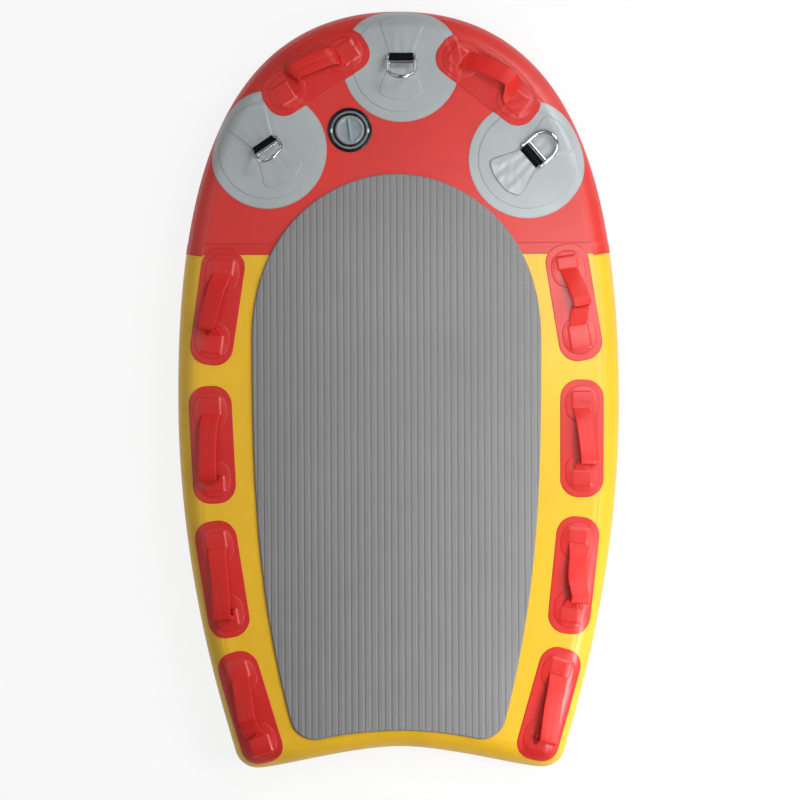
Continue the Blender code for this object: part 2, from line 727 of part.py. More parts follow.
def build_tape(material):
    """Tape over the joint of the deck panels, from edge to edge."""
    deck = loop_points(HALF, -GAP)
    band = clip_above(clip_above(deck, PANEL_JOINT_Y - TAPE_WIDTH / 2, True),
                      PANEL_JOINT_Y + TAPE_WIDTH / 2, False)
    points, faces = trimmed_surface(band, [], GAP, over_tape=False)
    shell("deck_seam_tape", points, faces, TAPE_THICKNESS, 1, material)


def build_core(material, valve_at):
    """Two base cloths held apart by columns of yarn, in one piece, cut clear of the valve."""
    low = SKIN + GAP
    layers = (low, low + CLOTH, THICKNESS - low - CLOTH, THICKNESS - low)
    tail_y = tail_frame(HULL, RAIL_RADIUS, 1)[0][1] + CORE_EDGE_CLEARANCE
    nose_y = HULL.nose_y - RAIL_RADIUS - CORE_NOSE_SETBACK
    pitch = (nose_y - tail_y) / YARN_ROWS
    half = YARN_BUNDLE / 2
    ys = [tail_y]
    for row in range(YARN_ROWS):
        middle = tail_y + pitch * (row + 0.5)
        ys += [middle - half, middle + half]
    ys.append(nose_y)
    rows = []
    for y in ys:
        wide = side_frame(HULL, RAIL_RADIUS, side_t_at(HULL, RAIL_RADIUS, y))[0][0] - CORE_EDGE_CLEARANCE
        xs = [-wide]
        for column in range(YARN_COLUMNS):
            middle = wide * (2 * (column + 0.5) / YARN_COLUMNS - 1)
            xs += [middle - half, middle + half]
        rows.append([(x, y) for x in xs + [wide]])
    width = len(rows[0])
    count = width * len(rows)
    points = [(x, y, z) for z in layers for row in rows for x, y in row]
    cells = [(r, c) for r in range(len(rows) - 1) for c in range(width - 1)]
    yarn = [(r, c) for r, c in cells if r % 2 == 1 and c % 2 == 1]

    def corners(r, c):
        return [r * width + c, r * width + c + 1, (r + 1) * width + c + 1, (r + 1) * width + c]

    faces = []
    for r, c in cells:
        square = corners(r, c)
        faces.append([v for v in reversed(square)])
        faces.append([v + 3 * count for v in square])
        if (r, c) not in yarn:
            faces.append([v + count for v in square])
            faces.append([v + 2 * count for v in reversed(square)])
    for r, c in yarn:
        square = corners(r, c)
        for a, b in zip(square, square[1:] + square[:1]):
            faces.append([a + count, b + count, b + 2 * count, a + 2 * count])
    rim = [*range(width), *[r * width + width - 1 for r in range(1, len(rows))],
           *[(len(rows) - 1) * width + c for c in range(width - 2, -1, -1)],
           *[r * width for r in range(len(rows) - 2, 0, -1)]]
    for a, b in zip(rim, rim[1:] + rim[:1]):
        for layer in (0, 2 * count):
            faces.append([a + layer, b + layer, b + layer + count, a + layer + count])
    mesh = mesh_from("drop_stitch_core", points, faces)
    work = bmesh.new()
    work.from_mesh(mesh)
    for z in (layers[0], layers[3]):
        flat = [f for f in work.faces if all(abs(v.co.z - z) < 1e-6 for v in f.verts)]
        bmesh.ops.dissolve_faces(work, faces=flat)
    work.to_mesh(mesh)
    work.free()
    core = add_object("drop_stitch_core", mesh, material)
    radius = VALVE_NUT_RADIUS + CORE_VALVE_CLEARANCE
    well_low = THICKNESS - VALVE_BARREL_DEPTH - CORE_VALVE_CLEARANCE
    profile = [(0, THICKNESS), (radius, THICKNESS), (radius, well_low), (0, well_low)]
    well = turned("valve_well", profile, False, None, collection=CUTTERS)
    well.location = (*valve_at, 0)
    hide_cutter(well)
    cut(core, well, "DIFFERENCE")


def build_pad(material):
    """Foam deck pad with lengthwise grooves and a channel for the seam tape underneath."""
    half = half_frames(PAD, PAD_CORNER_RADIUS, PAD_NOSE_STEPS, PAD_FLANK_STEPS, CORNER_STEPS, PAD_TAIL_STEPS)
    outline = loop_points(half, PAD_CORNER_RADIUS, PAD_CENTRE_X)
    low = THICKNESS + GAP
    top = low + PAD_THICKNESS
    footprint = plate("pad_footprint", [outline], low + PAD_THICKNESS, PAD_THICKNESS * 4, None, CUTTERS)
    hide_cutter(footprint)
    reach = PAD_HALF_WIDTH + GROOVE_PITCH
    grooves = int(reach / GROOVE_PITCH)
    section = [(-reach, low), (reach, low), (reach, top)]
    for index in range(grooves - 1, -grooves, -1):
        x = index * GROOVE_PITCH
        section += [(x + GROOVE_WIDTH / 2, top), (x, top - GROOVE_DEPTH), (x - GROOVE_WIDTH / 2, top)]
    section.append((-reach, top))
    front, back = PAD.nose_y + GROOVE_PITCH, PAD.tail_y - GROOVE_PITCH
    points = [(x + PAD_CENTRE_X, y, z) for y in (front, back) for x, z in section]
    count = len(section)
    faces = [list(range(count - 1, -1, -1)), [count + i for i in range(count)]]
    for a in range(count):
        b = (a + 1) % count
        faces.append([a, b, b + count, a + count])
    pad = add_object("deck_pad", mesh_from("deck_pad", points, faces), material)
    cut(pad, footprint, "INTERSECT")
    side = HALF_WIDTH
    spread = TAPE_WIDTH / 2 + 2 * GAP
    channel = block("tape_channel", (-side, PANEL_JOINT_Y - spread, THICKNESS - SKIN),
                    (side, PANEL_JOINT_Y + spread, low + TAPE_THICKNESS + GAP), CUTTERS)
    hide_cutter(channel)
    cut(pad, channel, "DIFFERENCE")


# Grab handles

def patch_outline(handle, grow=0.0):
    axes, origin = place(handle.side, handle.at, handle.inset, handle.skew_deg, False)
    local = rounded_rectangle(HANDLE_PATCH_LENGTH + 2 * grow, HANDLE_PATCH_WIDTH + 2 * grow,
                              HANDLE_PATCH_CORNER + grow)
    return to_plan(local, axes, origin)


def corner_cut(path, rounds):
    """Smooth an open path by cutting its corners, keeping its ends."""
    for _ in range(rounds):
        cuts = [path[0]]
        for a, b in zip(path, path[1:]):
            cuts += [0.75 * a + 0.25 * b, 0.25 * a + 0.75 * b]
        path = np.array(cuts + [path[-1]])
    return path


def strap_path(handle):
    """Middle line of a strap over its patch: along, outboard and up, at the strap's real length."""
    end = STRAP_FOOT_AT + STRAP_FOOT_LENGTH
    flop = [(along * STRAP_FOOT_AT, out * STRAP_FOOT_AT, rise) for along, out, rise in handle.flop]
    rough = np.array([(end, 0, 0), (STRAP_FOOT_AT, 0, 0), *flop, (-STRAP_FOOT_AT, 0, 0), (-end, 0, 0)])
    wanted = 2 * end + STRAP_SLACK

    def risen(height):
        return corner_cut(rough * np.array((1, 1, height)), 2)

    def too_long(height):
        return np.linalg.norm(np.diff(risen(height), axis=0), axis=1).sum() > wanted

    return risen(bisect(0, STRAP_FOOT_AT, too_long))


def build_handle(handle, material):
    """Glued base patch and the looped strap over it."""
    outline = patch_outline(handle)
    points, faces = trimmed_surface(outline, [], GAP)
    shell(f"{handle.name}_patch", points, faces, HANDLE_PATCH_THICKNESS, 1, material)
    axes, origin = place(handle.side, handle.at, handle.inset, handle.skew_deg, False)
    outboard = -handle.side
    path = strap_path(handle)
    base = THICKNESS + HANDLE_PATCH_THICKNESS + 3 * GAP
    points = []
    for along, out, rise in path:
        across = np.array([(along, out * outboard + half) for half in (STRAP_WIDTH / 2, 0, -STRAP_WIDTH / 2)])
        plan = across @ axes + origin
        z = base + rise - drop_at(plan).min() + tape_lift(plan).max()
        points += [(*plan[0], z), (*plan[2], z)]
    shell(f"{handle.name}_strap", points, grid_faces(len(path), 2), STRAP_THICKNESS, 1, material)


# Tow points

def tow_frame(tow):
    """Plan axes of a tow point, fan axis first, its disc's centre and its ring bar's middle."""
    axes, centre = place(tow.side, tow.at, tow.inset, tow.skew_deg, True)
    return axes, centre, centre + TOW_BAR_OFFSET * axes[0]


def fan_outline():
    """Bow tie that is gathered at the ring and fans out to both sides."""
    neck = LOOP_FOOT + RING_WIRE_RADIUS
    quarter = [(neck, FAN_NECK_HALF_WIDTH), (FAN_LENGTH - FAN_SHOULDER_SETBACK, FAN_HALF_WIDTH),
               (FAN_LENGTH - FAN_CORNER_SETBACK, FAN_HALF_WIDTH - FAN_CORNER_DROP),
               (FAN_LENGTH, FAN_END_HALF_WIDTH)]
    upper = quarter[::-1] + [(-a, b) for a, b in quarter]
    return upper + [(-a, -b) for a, b in upper]


def build_tow_patches(tow, materials, cutters):
    """Base disc, cover disc and fanned strap, each trimmed round the neighbouring patches."""
    axes, centre, bar = tow_frame(tow)
    height = GAP
    for part, radius in (("base", TOW_BASE_RADIUS), ("cover", TOW_COVER_RADIUS)):
        points, faces = trimmed_surface(circle(centre, radius), cutters, height)
        shell(f"{tow.name}_{part}", points, faces, TOW_PATCH_THICKNESS, 1, materials["grey_pvc"])
        height += TOW_PATCH_THICKNESS + GAP
    points, faces = trimmed_surface(to_plan(fan_outline(), axes, bar), cutters, height)
    shell(f"{tow.name}_fan_strap", points, faces, FAN_THICKNESS, 1, materials["grey_pvc"])
    return height + FAN_THICKNESS


def build_loop(tow, deck_height, material):
    """Webbing loop that holds the ring's bar down on the fan strap."""
    axes, _, bar = tow_frame(tow)
    inner = LOOP_INNER
    foot_z = deck_height + GAP
    bar_z = deck_height + inner
    arc = [math.pi * (1 - i / 8) for i in range(9)]
    section = [(-inner - LOOP_FOOT, foot_z), (-inner, foot_z)]
    section += [(inner * math.cos(a), bar_z + inner * math.sin(a)) for a in arc]
    section += [(inner, foot_z), (inner + LOOP_FOOT, foot_z)]
    points = []
    for along, z in section:
        for half in (-LOOP_HALF_WIDTH, LOOP_HALF_WIDTH):
            plan = np.array((along, half)) @ axes + bar
            points.append((*plan, THICKNESS + z))
    shell(f"{tow.name}_webbing_loop", points, grid_faces(len(section), 2), LOOP_THICKNESS, 1, material)


def ring_line():
    """Middle line of the ring's wire: a straight bar, two arms and a half round bow."""
    wide, corner = RING_HALF_WIDTH, RING_CORNER
    bow_centre = RING_LENGTH - wide
    quarter = [math.pi / 2 * i / 3 for i in range(4)]
    line = [(wide - corner + corner * math.sin(a), corner - corner * math.cos(a)) for a in quarter]
    line += [(wide * math.cos(a), bow_centre + wide * math.sin(a)) for a in np.linspace(0, math.pi, 13)]
    line += [(corner - wide - corner * math.cos(a), corner - corner * math.sin(a)) for a in quarter]
    return line


def build_ring(tow, deck_height, material):
    """Steel D-ring with its bar in the loop and a second bar across it; its origin is on the bar."""
    axes, _, bar = tow_frame(tow)
    ring = tube(f"{tow.name}_ring", [(x, y, 0) for x, y in ring_line()], RING_WIRE_RADIUS, True, material)
    work = bmesh.new()
    bmesh.ops.create_cone(work, cap_ends=True, segments=8, radius1=RING_CROSSBAR_RADIUS,
                          radius2=RING_CROSSBAR_RADIUS, depth=2 * RING_HALF_WIDTH,
                          matrix=Matrix.Rotation(math.pi / 2, 4, "Y"))
    bmesh.ops.translate(work, vec=(0, RING_CROSSBAR_AT, 0), verts=work.verts)
    mesh = bpy.data.meshes.new(f"{tow.name}_crossbar")
    work.to_mesh(mesh)
    work.free()
    crossbar = add_object(f"{tow.name}_crossbar", mesh, collection=CUTTERS)
    hide_cutter(crossbar)
    cut(ring, crossbar, "UNION")
    outwards = Vector((*axes[0], 0)) * (1 if tow.ring_outwards else -1)
    hinge = outwards.cross(Vector((0, 0, 1)))
    lean = math.radians(tow.ring_elevation_deg)
    bow = outwards * math.cos(lean) + Vector((0, 0, math.sin(lean)))
    turn = Matrix((hinge, bow, hinge.cross(bow))).transposed().to_4x4()
    bar_z = THICKNESS + deck_height + LOOP_INNER
    at = Matrix.Translation((*bar, bar_z)) @ turn
    ring.matrix_world = at
    crossbar.matrix_world = at
    print(f"{tow.name} hinge at {tuple(round(v, 6) for v in at.translation)}",
          f"axis {tuple(round(v, 6) for v in hinge)}")


# Inflation valve

def build_valve(at, materials):
    """Screwed valve: plate, gasket, body and nut on the deck, sprung poppet inside, turning cap on top."""
    flange_low = 2 * GAP + GASKET_THICKNESS
    flange_top = flange_low + VALVE_FLANGE_THICKNESS
    collar_top = flange_top + VALVE_COLLAR_HEIGHT
    barrel_low = -VALVE_BARREL_DEPTH
    barrel_inner = VALVE_BARREL_RADIUS - VALVE_WALL
    seat_low = -VALVE_SEAT_DEPTH - VALVE_SEAT_THICKNESS
    floor_top = barrel_low + VALVE_FLOOR
    rim = VALVE_PLATE_RIM
    sunk_top = VALVE_PLATE_THICKNESS - VALVE_PLATE_SUNK

    turned_parts = {
        "valve_plate": ([(VALVE_PLATE_INNER, VALVE_PLATE_THICKNESS),
                         (VALVE_PLATE_INNER + rim, VALVE_PLATE_THICKNESS),
                         (VALVE_PLATE_INNER + rim + GAP, sunk_top),
                         (VALVE_PLATE_RADIUS - rim - GAP, sunk_top),
                         (VALVE_PLATE_RADIUS - rim, VALVE_PLATE_THICKNESS),
                         (VALVE_PLATE_RADIUS - rim / 2, VALVE_PLATE_THICKNESS),
                         (VALVE_PLATE_RADIUS, VALVE_PLATE_THICKNESS - rim / 2),
                         (VALVE_PLATE_RADIUS, GAP), (VALVE_PLATE_INNER, GAP)], "black"),
        "valve_gasket": (ring_profile(VALVE_BARREL_RADIUS + GAP, VALVE_FLANGE_RADIUS,
                                      GAP, GAP + GASKET_THICKNESS), "rubber"),
        "valve_body": ([(VALVE_BORE_RADIUS, collar_top), (VALVE_BARREL_RADIUS - GAP, collar_top),
                        (VALVE_BARREL_RADIUS - GAP, flange_top), (VALVE_FLANGE_RADIUS, flange_top),
                        (VALVE_FLANGE_RADIUS, flange_low), (VALVE_BARREL_RADIUS, flange_low),
                        (VALVE_BARREL_RADIUS, barrel_low), (VALVE_VENT_RADIUS, barrel_low),
                        (VALVE_VENT_RADIUS, floor_top), (barrel_inner, floor_top),
                        (barrel_inner, seat_low), (VALVE_SEAT_RADIUS, seat_low),
                        (VALVE_SEAT_RADIUS, -VALVE_SEAT_DEPTH), (VALVE_BORE_RADIUS, -VALVE_SEAT_DEPTH)],
                       "black"),
        "valve_nut": (ring_profile(VALVE_BARREL_RADIUS + GAP, VALVE_NUT_RADIUS,
                                   -SKIN - GAP - VALVE_NUT_HEIGHT, -SKIN - GAP), "black"),
    }
    seal_top = seat_low - GAP
    poppet_top = seal_top - POPPET_SEAL_THICKNESS - GAP
    poppet_low = poppet_top - POPPET_THICKNESS
    turned_parts["valve_poppet_seal"] = (ring_profile(STEM_RADIUS + GAP, POPPET_RADIUS,
                                                      poppet_top + GAP, seal_top), "rubber")
    cap_seal_low = collar_top + GAP
    cap_under = cap_seal_low + CAP_SEAL_THICKNESS + GAP
    turned_parts["valve_cap_seal"] = (ring_profile(VALVE_BORE_RADIUS + GAP, VALVE_BARREL_RADIUS - GAP,
                                                   cap_seal_low, cap_seal_low + CAP_SEAL_THICKNESS), "rubber")
    for name, (profile, material) in turned_parts.items():
        piece = turned(name, profile, True, materials[material])
        piece.location = (*at, THICKNESS)

    button_top = -BUTTON_BELOW_DECK
    poppet = turned("valve_poppet", [(0, button_top), (BUTTON_RADIUS, button_top),
                                     (BUTTON_RADIUS, button_top - BUTTON_THICKNESS),
                                     (STEM_RADIUS, button_top - BUTTON_THICKNESS),
                                     (STEM_RADIUS, poppet_top), (POPPET_RADIUS, poppet_top),
                                     (POPPET_RADIUS, poppet_low), (0, poppet_low)],
                    False, materials["grey_plastic"])
    poppet.location = (*at, THICKNESS)

    cap_top = cap_under + CAP_TOP_THICKNESS
    outer = VALVE_FLANGE_RADIUS - 2 * GAP
    rim_inner = outer - CAP_RIM_WIDTH
    cap = turned("valve_cap", [(0, cap_top), (rim_inner - CAP_RIM_SLOPE, cap_top),
                               (rim_inner, cap_top + CAP_RIM_HEIGHT),
                               (outer - CAP_EDGE_CHAMFER, cap_top + CAP_RIM_HEIGHT), (outer, cap_top),
                               (outer, flange_top + GAP), (outer - CAP_SKIRT, flange_top + GAP),
                               (outer - CAP_SKIRT, cap_under), (0, cap_under)],
                 False, materials["grey_plastic"])
    cap.location = (*at, THICKNESS)
    bar = block("valve_cap_bar", (-rim_inner, -CAP_BAR_WIDTH / 2, cap_top - CAP_TOP_THICKNESS / 2),
                (rim_inner, CAP_BAR_WIDTH / 2, cap_top + CAP_BAR_HEIGHT), CUTTERS)
    bar.location = (*at, THICKNESS)
    bar.rotation_euler.z = math.radians(CAP_BAR_TURN_DEG)
    hide_cutter(bar)
    cut(cap, bar, "UNION")

    coil_low = floor_top + GAP + SPRING_WIRE_RADIUS
    coil_high = poppet_low - GAP - SPRING_WIRE_RADIUS
    count = SPRING_TURNS * SPRING_POINTS_PER_TURN
    coil = []
    for i in range(count + 1):
        angle = math.tau * i / SPRING_POINTS_PER_TURN
        coil.append((SPRING_RADIUS * math.cos(angle), SPRING_RADIUS * math.sin(angle),
                     coil_low + (coil_high - coil_low) * i / count))
    spring = tube("valve_spring", coil, SPRING_WIRE_RADIUS, False, materials["steel"], 1)
    spring.location = (*at, THICKNESS)
    pitch_gap = (coil_high - coil_low) / SPRING_TURNS - 2 * SPRING_WIRE_RADIUS
    print(f"valve spring: least gap between turns {pitch_gap * 1000:.2f} mm")


def build_all():
    materials = {
        "red": make_material("red_pvc", (0.60, 0.030, 0.025), 0.45),
        "yellow": make_material("yellow_pvc", (0.80, 0.42, 0.020), 0.45),
        "red_webbing": make_material("red_webbing", (0.62, 0.020, 0.018), 0.6),
        "grey_pvc": make_material("grey_pvc", (0.36, 0.39, 0.39), 0.5),
        "cloth": make_material("polyester_cloth", (0.75, 0.75, 0.72), 0.9),
        "foam": make_material("grey_foam", (0.23, 0.23, 0.235), 0.85),
        "black_webbing": make_material("black_webbing", (0.012, 0.012, 0.013), 0.7),
        "black": make_material("black_plastic", (0.02, 0.022, 0.024), 0.45),
        "grey_plastic": make_material("grey_plastic", (0.22, 0.24, 0.25), 0.4),
        "rubber": make_material("rubber", (0.02, 0.02, 0.02), 0.8),
        "steel": make_material("stainless_steel", (0.75, 0.76, 0.78), 0.15, 1.0),
    }
    _, valve_at = place(-1, VALVE_AT, VALVE_INSET, 0, True)
    build_panels(materials, valve_at)
    build_rails(materials)
    build_tape(materials["red"])
    build_core(materials["cloth"], valve_at)
    build_pad(materials["foam"])
    for handle in HANDLES:
        build_handle(handle, materials["red_webbing"])
    cutters = [patch_outline(h, 2 * GAP) for h in HANDLES]
    cutters.append(circle(valve_at, VALVE_PLATE_RADIUS + 2 * GAP))
    for tow in TOW_POINTS:
        top = build_tow_patches(tow, materials, cutters)
        build_loop(tow, top, materials["black_webbing"])
        build_ring(tow, top, materials["steel"])
    build_valve(valve_at, materials)
    print(f"valve axis at {tuple(round(float(v), 6) for v in valve_at)}")


clear_scene()
PARTS = make_collection("rescue_sled")
CUTTERS = make_collection("rescue_sled_cutters")
build_all()
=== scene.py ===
"""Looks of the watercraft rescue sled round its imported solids: skins, patches, straps, rings, pad and valve.

Metres, in the frame of the solids: +Y towards the nose, +Z up, the ground under the hull at z 0.
"""
import math

import bmesh
import bpy
import numpy as np
from mathutils import Matrix, Vector
from mathutils.geometry import delaunay_2d_cdt


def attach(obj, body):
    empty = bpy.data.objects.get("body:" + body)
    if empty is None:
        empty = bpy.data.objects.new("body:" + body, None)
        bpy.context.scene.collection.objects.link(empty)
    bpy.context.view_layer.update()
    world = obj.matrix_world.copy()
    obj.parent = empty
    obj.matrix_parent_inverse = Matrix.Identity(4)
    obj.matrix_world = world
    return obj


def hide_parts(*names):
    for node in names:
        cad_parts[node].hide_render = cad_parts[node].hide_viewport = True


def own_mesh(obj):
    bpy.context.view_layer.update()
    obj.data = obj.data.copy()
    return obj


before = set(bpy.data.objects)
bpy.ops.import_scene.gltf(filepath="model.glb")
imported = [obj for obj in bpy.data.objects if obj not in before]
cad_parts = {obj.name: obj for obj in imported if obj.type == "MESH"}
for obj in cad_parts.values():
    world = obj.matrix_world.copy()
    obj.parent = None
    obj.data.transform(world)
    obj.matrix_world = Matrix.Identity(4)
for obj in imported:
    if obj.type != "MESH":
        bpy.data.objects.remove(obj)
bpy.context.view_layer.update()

# Sizes that the solids have too
LENGTH, HALF_WIDTH, THICKNESS = 1.700, 0.4955, 0.100
RAIL_RADIUS = THICKNESS / 2
WIDEST_Y = LENGTH / 2 - 0.870
PANEL_JOINT_Y = LENGTH / 2 - 0.534
RAIL_JOINT_Y = PANEL_JOINT_Y - 0.019
TAIL_BAND_SHARE = 0.82
TAPE_WIDTH = 0.0265
PAD_CORNER_RADIUS, PAD_THICKNESS, PAD_CENTRE_X = 0.056, 0.005, -0.004
GROOVE_PITCH = 0.015
PATCH_LENGTH, PATCH_WIDTH, PATCH_CORNER = 0.265, 0.098, 0.042
STRAP_WIDTH, STRAP_FOOT_AT, STRAP_FOOT, STRAP_SLACK = 0.040, 0.094, 0.018, 0.018
BASE_RADIUS, COVER_RADIUS, BAR_OFFSET, BAR_HEIGHT = 0.1325, 0.111, 0.012, 0.0078
RING_HALF, RING_LENGTH, RING_CORNER = 0.0308, 0.0665, 0.005
VALVE_AT, VALVE_INSET = 0.1207, 0.2416
CAP_RADIUS, CAP_INNER, CAP_TOP, CAP_BAR_TURN_DEG = 0.0326, 0.0272, 0.0106, 99
COIL_RADIUS, COIL_WIRE, COIL_TURNS, POPPET_TRAVEL = 0.010, 0.0007, 5, 0.005
COIL_LOW, COIL_HIGH = THICKNESS - 0.0390, THICKNESS - 0.0207

# Sizes that differ a little from the solids': pad grooves, straps, ring wires and the valve's hole
GROOVE_WIDTH, GROOVE_DEPTH, STRAP_THICKNESS = 0.0040, 0.0010, 0.0026
WIRE, CROSSBAR, CROSSBAR_AT, VALVE_HOLE = 0.0036, 0.0035, 0.0165, 0.021

# Planforms: nose y, tail y, half width, widest y, reaches of the two cubics down the side, tail half width,
# lean and reach of its corner, notch, and the handles of the cubic across the tail at its corner and middle
HULL = (LENGTH / 2, -LENGTH / 2, HALF_WIDTH, WIDEST_Y, 0.420, 0.429, 0.416, 0.3585, 0.0285, 0.103, 0.047,
        (0.038, 0), 0.112)
PAD = (0.484, -0.787, 0.3252, 0.114, 0.145, 0.2547, 0.3235, 0.2298, 0.0885, 0.3145, 0.020, (0.057, 0.0133),
       0.057)

# Handles: side, share of the way along the edge from nose to tail corner, distance in from it, skew in
# degrees, flop, roll in degrees and groove of the strap, and how far from the middle it leaves its fore and
# aft covers. A flop's points are (along, outboard, height) in hundredths of the foot's place and full height.
HANDLES = {
    "bow_handle_left": (-1, 0.1164, 0.092, -1.2, ((62, 8, 40), (50, 14, 95), (-33, 32, 100), (-48, 28, 70),
                       (-56, 18, 20)), 0, 1.0, 0.065, 0.067),
    "bow_handle_right": (1, 0.1337, 0.095, -0.4, ((52, 16, 50), (20, 26, 80), (-24, 35, 100), (-44, 36, 90),
                       (-60, 14, 25)), 10, 0.2, 0.074, 0.064),
    "left_handle_1": (-1, 0.4561, 0.082, 4.1, ((40, 10, 45), (-43, 19, 100), (-60, 19, 90),
                       (-58, 13, 20)), 14, 0.2, 0.074, 0.066),
    "left_handle_2": (-1, 0.6265, 0.074, -0.3, ((40, 8, 50), (-62, 15, 100), (-88, 14, 85),
                       (-84, 9, 20)), 8, 0.7, 0.068, 0.073),
    "left_handle_3": (-1, 0.7920, 0.062, 0.8, ((50, 3, 25), (-10, 5, 60), (-60, 11, 100), (-98, 15, 95),
                       (-96, 10, 20)), 10, 0.3, 0.070, 0.072),
    "left_handle_4": (-1, 0.9542, 0.057, -1.1, ((32, 5, 50), (-18, 13, 100), (-30, 13, 100), (-58, 12, 50),
                       (-60, 9, 15)), 10, 0.3, 0.072, 0.068),
    "right_handle_1": (1, 0.4519, 0.093, 4.6, ((43, 11, 50), (2, 19, 100), (-11, 19, 90),
                       (-12, 13, 20)), 14, 0.2, 0.078, 0.052),
    "right_handle_2": (1, 0.6205, 0.082, 2.0, ((43, 7, 40), (-45, 18, 100), (-62, 18, 85),
                       (-60, 12, 20)), 10, 0.5, 0.067, 0.072),
    "right_handle_3": (1, 0.7893, 0.0695, 3.5, ((53, 5, 35), (0, 6, 62), (-10, 8, 60), (-48, 20, 100),
                       (-66, 21, 90), (-62, 14, 20)), 8, 0.2, 0.073, 0.074),
    "right_handle_4": (1, 0.9512, 0.060, -0.2, ((53, 4, 35), (-10, 9, 65), (-62, 17, 100), (-90, 21, 90),
                       (-90, 14, 20)), 10, 0.2, 0.070, 0.072),
}

# Tow points: side, share along the edge, distance in from it, skew, ring outwards, ring's angle in degrees
TOWS = {
    "tow_centre": (1, 0.0058, 0.117, 1.1, False, 48.0),
    "tow_left": (-1, 0.2449, 0.119, 31.3, False, 60.0),
    "tow_right": (1, 0.2583, 0.128, 18.5, True, 7.0),
}

# Half of the fanned strap, from its neck under the ring outwards
FAN_SIDE = ((0.006, -0.030), (0.018, -0.0316), (0.079, -0.057), (0.0935, -0.026), (0.097, 0.018),
            (0.081, 0.053), (0.018, 0.0316), (0.006, 0.030))

# Layers of the dressing: where the side bands begin beyond the deck's edge, thicknesses, how far a laid sheet
# sinks into what it lies on, and the width of the darker line round a sheet's rim
LAP_AT, LAP, RIB, TAPE, PATCH, DISC, COVER = 0.013, 0.0006, 0.0005, 0.0006, 0.0012, 0.0010, 0.0010
SUNK, RIM = 0.0001, 0.008

# Oval covers over a strap's feet: outer and inner end and half width, and the foot's end and half width
COVER_OUT, COVER_IN, COVER_HALF, FOOT_END, FOOT_HALF = 0.119, 0.033, 0.0385, 0.103, 0.0200

# Camera's place, roll in degrees and lens, sky's strength at the horizon and overhead, and lamps: place, aim,
# size and power
CAMERA_AT, CAMERA_ROLL_DEG, CAMERA_LENS = (0.0032, -0.0242, 16 + THICKNESS), -0.23, 320.5
SKY = (0.26, 0.10)
LAMPS = {
    "key": ((2.70, 2.60, 4.10), (0.0, 0.0, 0.1), (1.5, 1.5), 87),
    "high_right_panel": ((1.30, 0.00, 1.90), (0.2, 0.0, 0.1), (0.8, 2.0), 9),
    "low_tail_panel": ((1.05, -0.95, 0.95), (0.1, -0.7, 0.1), (0.6, 0.6), 16),
    "bow_window": ((1.44, 1.28, 0.85), (0.40, 0.55, 0.1), (0.5, 1.2), 7),
    "near_window": ((0.50, 0.26, 0.95), (0.47, 0.26, 0.1), (0.30, 0.66), 3),
    "left_panel": ((-2.20, 0.60, 2.60), (-0.1, 0.1, 0.1), (3.0, 3.0), 22),
}


# Planform and deck

def smooth(x):
    x = np.clip(x, 0, 1)
    return x * x * (3 - 2 * x)


def bisect(low, high, goes_past):
    for _ in range(44):
        middle = (low + high) / 2
        if goes_past(middle):
            high = middle
        else:
            low = middle
    return (low + high) / 2


def unit(vector):
    return vector / np.linalg.norm(vector)


def reach_along(line):
    """How far along a line each of its points lies."""
    return np.concatenate(([0], np.cumsum(np.linalg.norm(np.diff(line, axis=0), axis=1))))


def cubic(controls, t):
    a, b, c, d = (np.array(v) for v in controls)
    point = (1 - t) ** 3 * a + 3 * (1 - t) ** 2 * t * b + 3 * (1 - t) * t * t * c + t ** 3 * d
    along = 3 * (1 - t) ** 2 * (b - a) + 6 * (1 - t) * t * (c - b) + 3 * t * t * (d - c)
    return point, np.array((-along[1], along[0])) / np.hypot(*along)


def side_frame(shape, inset, t):
    nose_y, tail_y, wide, widest_y, nose, shoulder, flank, tail_wide, lean, reach = shape[:10]
    if t <= 1:
        point, normal = cubic(((0, nose_y), (nose, nose_y), (wide, widest_y + shoulder), (wide, widest_y)), t)
    else:
        point, normal = cubic(((wide, widest_y), (wide, widest_y - flank), (tail_wide + lean, tail_y + reach),
                               (tail_wide, tail_y)), t - 1)
    return point - inset * normal, normal


def side_t_at(shape, inset, y):
    return bisect(0, 2, lambda t: side_frame(shape, inset, t)[0][1] < y)


def tail_frame(shape, inset, t):
    """Frame on the cubic across half of the tail, from the corner at 0 to the middle at 1."""
    corner = side_frame(shape, inset, side_t_at(shape, inset, shape[1] + inset))[0]
    notch, (reach, rise), middle_reach = shape[10:]
    middle = np.array((0, corner[1] + notch))
    return cubic((corner, corner + (-reach, rise), middle + (middle_reach, 0), middle), t)


def corner_frames(before, after, steps):
    start = math.atan2(before[1][1], before[1][0])
    turn = math.atan2(after[1][1], after[1][0]) - start
    angles = [start + turn * i / steps for i in range(1, steps)]
    return [(before[0], np.array((math.cos(a), math.sin(a)))) for a in angles]


def mirror(frames):
    flip = np.array((-1, 1))
    return [(point * flip, normal * flip) for point, normal in reversed(frames)]


def half_frames(shape, inset, nose_steps, flank_steps, corner_steps, tail_steps):
    """Frames from the nose down the right side and round its corner to the middle of the tail."""
    corner_t = side_t_at(shape, inset, shape[1] + inset)
    ts = [*np.linspace(0, 1, nose_steps + 1), *np.linspace(1, corner_t, flank_steps + 1)[1:]]
    side = [side_frame(shape, inset, t) for t in ts]
    tail = [tail_frame(shape, inset, t) for t in np.linspace(0, 1, tail_steps + 1)]
    return side + corner_frames(side[-1], tail[0], corner_steps) + tail


def loop_points(half, distance, centre_x=0.0):
    """Closed anticlockwise outline at a distance outside the frames of a right half."""
    right = [point + distance * normal for point, normal in half]
    left = [point * np.array((-1, 1)) for point in reversed(right[1:-1])]
    loop = [point + np.array((centre_x, 0)) for point in reversed(right + left)]
    return np.array([a for a, b in zip(loop, loop[1:] + loop[:1]) if np.linalg.norm(b - a) > 2e-5])


